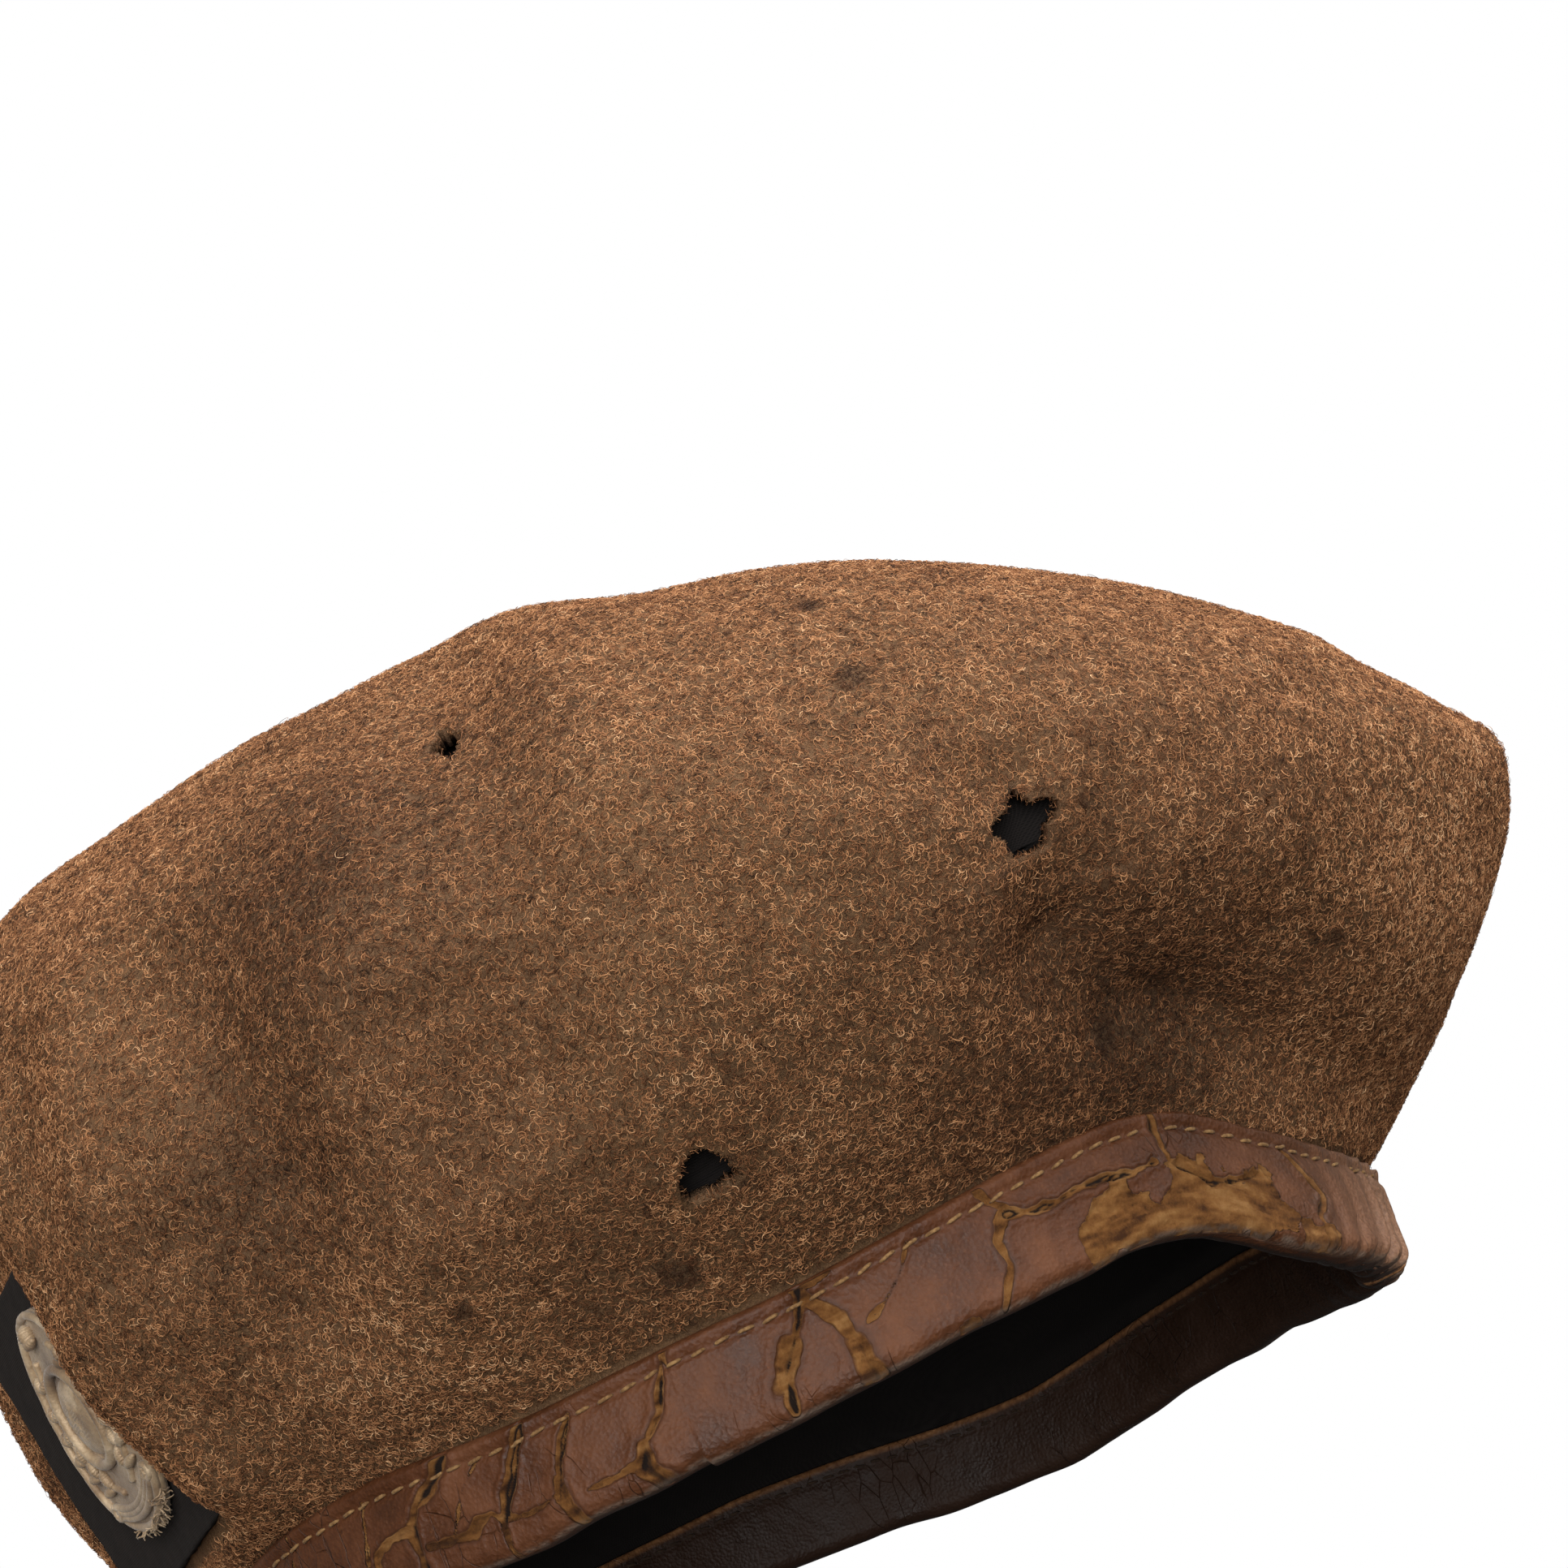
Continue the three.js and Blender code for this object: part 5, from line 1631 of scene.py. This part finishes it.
def wrapped_rings(path, radius, pitch, sides=14, ridge=0.09, slant=0.5):
    """A padded roll wrapped with thread: ridges run across it at a slant."""
    path = np.asarray(path, float)
    run = np.concatenate([[0], np.cumsum(np.linalg.norm(np.diff(path, axis=0), axis=1))])
    turn = np.arange(sides) * 2 * math.pi / sides
    thread = np.abs(np.sin(math.pi * run[:, None] / pitch + slant * turn[None, :]))
    base = np.asarray(radius, float)
    base = base[:, None] if base.ndim else base
    ups = np.tile(PANEL_OUTWARD, (len(path), 1))
    return tube_rings(path, base * (1 - ridge + 2 * ridge * thread), sides, ups=ups)


def make_padded(name, node, rolls, recess_shade=0.0):
    points, faces = [], []
    for path, radius, pitch in rolls:
        add_tube(points, faces, wrapped_rings(path, radius, pitch))
    piece = outward_faces(new_mesh(name, np.array(points), faces))
    set_attribute(piece, "recess_shade", np.full(len(piece.data.vertices), recess_shade))
    return finish_piece(piece, "cap", "pale_thread", EMBROIDERY, node)


def panel_curve(start, pull, end, count):
    t = np.linspace(0, 1, count)[:, None]
    start, pull, end = (np.array(p, float) for p in (start, pull, end))
    return (1 - t) ** 2 * start + 2 * t * (1 - t) * pull + t * t * end


def leaf_roll(root, direction, length, width, height):
    """One padded leaf: thin at both ends, fat in the middle."""
    t = np.linspace(0, 1, 30)
    line = np.asarray(root)[None, :] + t[:, None] * length * np.asarray(direction)[None, :]
    path = on_badge(line[:, 0], line[:, 1], height + 0.5 * RELIEF * np.sin(math.pi * t))
    radius = width * np.sin(math.pi * np.clip(t, 0.03, 0.97)) ** 0.6 + 0.12
    return path, radius, 0.42


def spray_rolls(side):
    """A stem with pairs of leaves standing off it."""
    stem = panel_curve((side * 2.6, -11.6), (side * 14.5, -3), (side * 4.2, 12.8), 60)
    rolls = [(on_badge(stem[:, 0], stem[:, 1], BASE_TOP + 0.55 * RELIEF), 0.5, 0.5)]
    for k in range(6):
        at = 6 + k * 9
        tangent = normalise(stem[min(at + 2, 59)] - stem[at - 2])
        across = np.array([-tangent[1], tangent[0]])
        for lean in (1, -1):
            direction = normalise(tangent + 0.75 * lean * across)
            rolls.append(leaf_roll(stem[at], direction, 3.9 - 0.25 * k, 0.62, BASE_TOP + 0.75 * RELIEF))
    return rolls


def make_badge_work():
    for side, label in ((1, "left"), (-1, "right")):
        make_padded(f"badge_leaves_{label}", f"badge_spray_{label}", spray_rolls(side))
    turn = np.linspace(0, 2 * math.pi, 121)[:-1]
    rings = []
    for grow, radius in ((-0.6, 0.62),):
        x, y = base_outline(turn, grow)
        path = on_badge(x, y, BASE_TOP + 0.1)
        path = np.concatenate([path, path[:2]])
        rings.append((path, radius, 0.8))
    make_padded("badge_edge_cord", "badge_base", rings)
    halo = np.stack([6.4 * np.cos(turn), 1.5 + 8.2 * np.sin(turn)], -1)
    path = on_badge(halo[:, 0], halo[:, 1], BASE_TOP + 0.6)
    make_padded("badge_ring_cord", "badge_boss_cord",
                [(np.concatenate([path, path[:2]]), 0.78, 0.7)])
    scroll = panel_curve((-9, -12.5), (0, -18.2), (9, -12.5), 70)
    rolls = [(on_badge(scroll[:, 0], scroll[:, 1] + shift, BASE_TOP + 0.7 * RELIEF), 0.55, 0.6)
             for shift in (-0.95, 0.0, 0.95)]
    for side in (1, -1):
        curl = np.linspace(0, 1.6 * math.pi, 26)
        x = side * (9 + 1.2 * np.sin(curl))
        y = -12.5 - 1.2 * (1 - np.cos(curl)) + 1.2
        rolls.append((on_badge(x, y, BASE_TOP + 0.9 * RELIEF), 0.5, 0.5))
    make_padded("badge_ribbon", "badge_scroll", rolls)
    make_padded("badge_top_knot", "badge_finial",
                [leaf_roll((0, 14.2), (0, 1), 3.2, 1.1, BASE_TOP + 0.5),
                 leaf_roll((-1.6, 14.6), (1, 0), 3.2, 0.7, BASE_TOP + 0.8)])


def make_boss():
    """A domed oval boss couched with rows of thread in a basket pattern."""
    around, rings = 90, 34
    turn = np.arange(around)[:, None] * 2 * math.pi / around
    share = np.linspace(0.001, 1, rings)[None, :]
    x = 5.0 * np.cos(turn) * share
    y = 6.6 * np.sin(turn) * share
    dome = 2.4 * RELIEF * np.sqrt(np.clip(1 - share ** 2, 0, 1))
    basket = np.where((np.floor(x / 1.6) + np.floor(y / 1.6)) % 2 > 0,
                      np.abs(np.sin(x * math.pi / 0.53)), np.abs(np.sin(y * math.pi / 0.53)))
    z = BASE_TOP + 0.05 + dome + 0.16 * basket * np.clip(1 - share ** 6, 0, 1)
    grid = np.concatenate([on_badge(x, y + 1.5, z),
                           on_badge(x[:, -1:], y[:, -1:] + 1.5, BASE_TOP - 0.1)], 1)
    rows = grid.shape[1]
    faces = grid_faces(around, rows, closed_across=True)
    faces.append(tuple(i * rows for i in range(around)))
    faces.append(tuple(i * rows + rows - 1 for i in range(around)))
    piece = outward_faces(new_mesh("badge_dome", grid.reshape(-1, 3), faces))
    set_attribute(piece, "recess_shade", np.zeros(len(piece.data.vertices)))
    return finish_piece(piece, "cap", "pale_thread", EMBROIDERY, "badge_boss")


def make_frayed_ends():
    """Pale thread ends that have come loose along the foot of the embroidery."""
    rng = np.random.default_rng(61)
    points, faces = [], []
    for _ in range(90):
        x = rng.uniform(-7, 9)
        start = np.array([x, -18.3 + 0.03 * x * x, BASE_TOP])
        heading = normalise(np.array([rng.normal(0, 0.6), -1.0, rng.normal(0.2, 0.5)]))
        path = [start]
        for _ in range(6):
            heading = normalise(heading + 0.45 * rng.normal(size=3))
            path.append(path[-1] + rng.uniform(0.3, 0.5) * heading)
        path = np.array(path)
        path[:, 2] = np.maximum(path[:, 2], BACKING_TOP)
        path = on_badge(path[:, 0], path[:, 1], path[:, 2])
        add_tube(points, faces, tube_rings(path, np.linspace(0.17, 0.08, len(path)), 5))
    piece = outward_faces(new_mesh("badge_frayed_ends", np.array(points), faces))
    set_attribute(piece, "recess_shade", np.zeros(len(piece.data.vertices)))
    return finish_piece(piece, "cap", "pale_thread", EMBROIDERY)


make_backing()
make_base()
make_frayed_ends()
make_boss()
make_badge_work()


def make_board():
    """The stiff canvas board hidden between felt and lining, behind the badge."""
    columns, rows = 24, 28
    u = np.linspace(-1, 1, columns)[:, None]
    v = np.linspace(-1, 1, rows)[None, :]
    rounded = 1 - 0.04 * (u * v) ** 8
    depth = -(FELT_THICKNESS + BOARD_GAP + BOARD_THICKNESS)
    face = on_panel(u * BOARD_WIDTH / 2 * rounded, v * BOARD_HEIGHT / 2 * rounded,
                    depth + 0.08 * noise(np.stack(np.broadcast_arrays(20 * u, 20 * v, 0.0), -1), 8))
    piece = new_mesh("badge_board", face.reshape(-1, 3), grid_faces(columns, rows))
    apply_modifier(piece, "SOLIDIFY", thickness=BOARD_THICKNESS * MM, offset=1)
    return finish_piece(piece, "cap", "fibre_board", CANVAS, "badge_stiffener")


make_board()


# ---------------------------------------------------------------------------------------
# Floor, light and camera
# ---------------------------------------------------------------------------------------

FLOOR_LEVEL = -8.0    # where the band sags lowest
FLOOR_HALF_WIDTH = 3.0    # metres
FLOOR_COLOUR = (0.86, 0.85, 0.84)
FLOOR_FADE = (0.30, 0.75)    # metres from the middle: whole, and gone
SKY = {"From Min": -0.25, "From Max": 0.15, "To Min": 0.05, "To Max": 0.26}


def make_floor():
    """A pale floor, seen only from above, that lets light pass and fades out to white."""
    level = FLOOR_LEVEL * MM
    half = FLOOR_HALF_WIDTH
    mesh = bpy.data.meshes.new("floor")
    mesh.from_pydata([(-half, -half, level), (half, -half, level), (half, half, level),
                      (-half, half, level)], [], [(0, 1, 2, 3)])
    floor = bpy.data.objects.new("floor", mesh)
    bpy.context.scene.collection.objects.link(floor)
    material = bpy.data.materials.new("pale_floor")
    material.use_nodes = True
    tree = material.node_tree
    tree.nodes.clear()
    output = tree.nodes.new("ShaderNodeOutputMaterial")
    path = tree.nodes.new("ShaderNodeLightPath")
    geometry = tree.nodes.new("ShaderNodeNewGeometry")
    front = tree.nodes.new("ShaderNodeMath")
    front.operation = "SUBTRACT"
    front.use_clamp = True
    tree.links.new(path.outputs["Is Camera Ray"], front.inputs[0])
    tree.links.new(geometry.outputs["Backfacing"], front.inputs[1])
    away = tree.nodes.new("ShaderNodeVectorMath")
    away.operation = "LENGTH"
    tree.links.new(geometry.outputs["Position"], away.inputs[0])
    near = tree.nodes.new("ShaderNodeMapRange")
    near.interpolation_type = "SMOOTHSTEP"
    near.inputs["From Min"].default_value = FLOOR_FADE[1]
    near.inputs["From Max"].default_value = FLOOR_FADE[0]
    tree.links.new(away.outputs["Value"], near.inputs["Value"])
    shown = tree.nodes.new("ShaderNodeMath")
    shown.operation = "MULTIPLY"
    tree.links.new(front.outputs[0], shown.inputs[0])
    tree.links.new(near.outputs["Result"], shown.inputs[1])
    matt = tree.nodes.new("ShaderNodeBsdfDiffuse")
    matt.inputs["Color"].default_value = opaque(FLOOR_COLOUR)
    clear = tree.nodes.new("ShaderNodeBsdfTransparent")
    mix = tree.nodes.new("ShaderNodeMixShader")
    tree.links.new(shown.outputs[0], mix.inputs["Fac"])
    tree.links.new(clear.outputs[0], mix.inputs[1])
    tree.links.new(matt.outputs[0], mix.inputs[2])
    tree.links.new(mix.outputs[0], output.inputs["Surface"])
    mesh.materials.append(material)


def make_world():
    """White to the camera; as light, a soft sky that fades out below the floor."""
    world = bpy.data.worlds.new("studio")
    bpy.context.scene.world = world
    world.use_nodes = True
    tree = world.node_tree
    tree.nodes.clear()
    output = tree.nodes.new("ShaderNodeOutputWorld")
    path = tree.nodes.new("ShaderNodeLightPath")
    seen = tree.nodes.new("ShaderNodeBackground")
    seen.inputs["Color"].default_value = (1, 1, 1, 1)
    seen.inputs["Strength"].default_value = 1.0
    direction = tree.nodes.new("ShaderNodeTexCoord")
    split = tree.nodes.new("ShaderNodeSeparateXYZ")
    tree.links.new(direction.outputs["Generated"], split.inputs[0])
    fade = tree.nodes.new("ShaderNodeMapRange")
    fade.interpolation_type = "SMOOTHSTEP"
    tree.links.new(split.outputs["Z"], fade.inputs["Value"])
    for key, value in SKY.items():
        fade.inputs[key].default_value = value
    light = tree.nodes.new("ShaderNodeBackground")
    light.inputs["Color"].default_value = (1.0, 0.97, 0.94, 1)
    tree.links.new(fade.outputs["Result"], light.inputs["Strength"])
    mix = tree.nodes.new("ShaderNodeMixShader")
    tree.links.new(path.outputs["Is Camera Ray"], mix.inputs["Fac"])
    tree.links.new(light.outputs[0], mix.inputs[1])
    tree.links.new(seen.outputs[0], mix.inputs[2])
    tree.links.new(mix.outputs[0], output.inputs["Surface"])


def add_softbox(name, place, aim, size, power):
    data = bpy.data.lights.new(name, "AREA")
    data.shape = "SQUARE"
    data.size = size
    data.energy = power
    lamp = bpy.data.objects.new(name, data)
    lamp.location = place
    direction = Vector(aim) - Vector(place)
    lamp.rotation_euler = direction.to_track_quat("-Z", "Y").to_euler()
    bpy.context.scene.collection.objects.link(lamp)


def make_lights():
    heart = Vector((0, 0, 0.06))
    add_softbox("key", (0.25, 0.65, 0.95), heart, 0.9, 27)
    add_softbox("fill", (1.15, 0.10, 0.05), heart, 0.8, 16)
    add_softbox("back", (0.2, 1.2, 0.3), heart, 0.7, 5)
    add_softbox("far_side", (-1.0, -0.5, 0.5), heart, 0.9, 9)


VIEW_TURNS = (94.48, -20.05, 25.94)    # azimuth, elevation and roll
VIEW_DISTANCE = 450.0
VIEW_TARGET = np.array([0.0, 37.67, 107.16])
LENS_ANGLE = 32.3338
NEAREST_SEEN = 0.01    # metres


def make_camera():
    """The view: level with the headband's left side, from below, with the cap tipped."""
    azimuth, elevation, roll = np.radians(VIEW_TURNS)
    toward = np.array([math.sin(azimuth) * math.cos(elevation),
                       -math.cos(azimuth) * math.cos(elevation), math.sin(elevation)])
    right = normalise(np.cross(-toward, (0.0, 0.0, 1.0)))
    up = np.cross(right, -toward)
    tipped_right = right * math.cos(roll) - up * math.sin(roll)
    tipped_up = right * math.sin(roll) + up * math.cos(roll)
    place = to_frame(VIEW_TARGET + VIEW_DISTANCE * toward)
    data = bpy.data.cameras.new("camera")
    data.angle = math.radians(LENS_ANGLE)
    data.clip_start = NEAREST_SEEN
    camera = bpy.data.objects.new("camera", data)
    matrix = np.eye(4)
    matrix[:3, 0], matrix[:3, 1], matrix[:3, 2] = tipped_right, tipped_up, toward
    matrix[:3, 3] = place
    camera.matrix_world = Matrix(matrix.tolist())
    bpy.context.scene.collection.objects.link(camera)
    bpy.context.scene.camera = camera


make_floor()
make_world()
make_lights()
make_camera()
bpy.context.scene.view_settings.view_transform = "Standard"
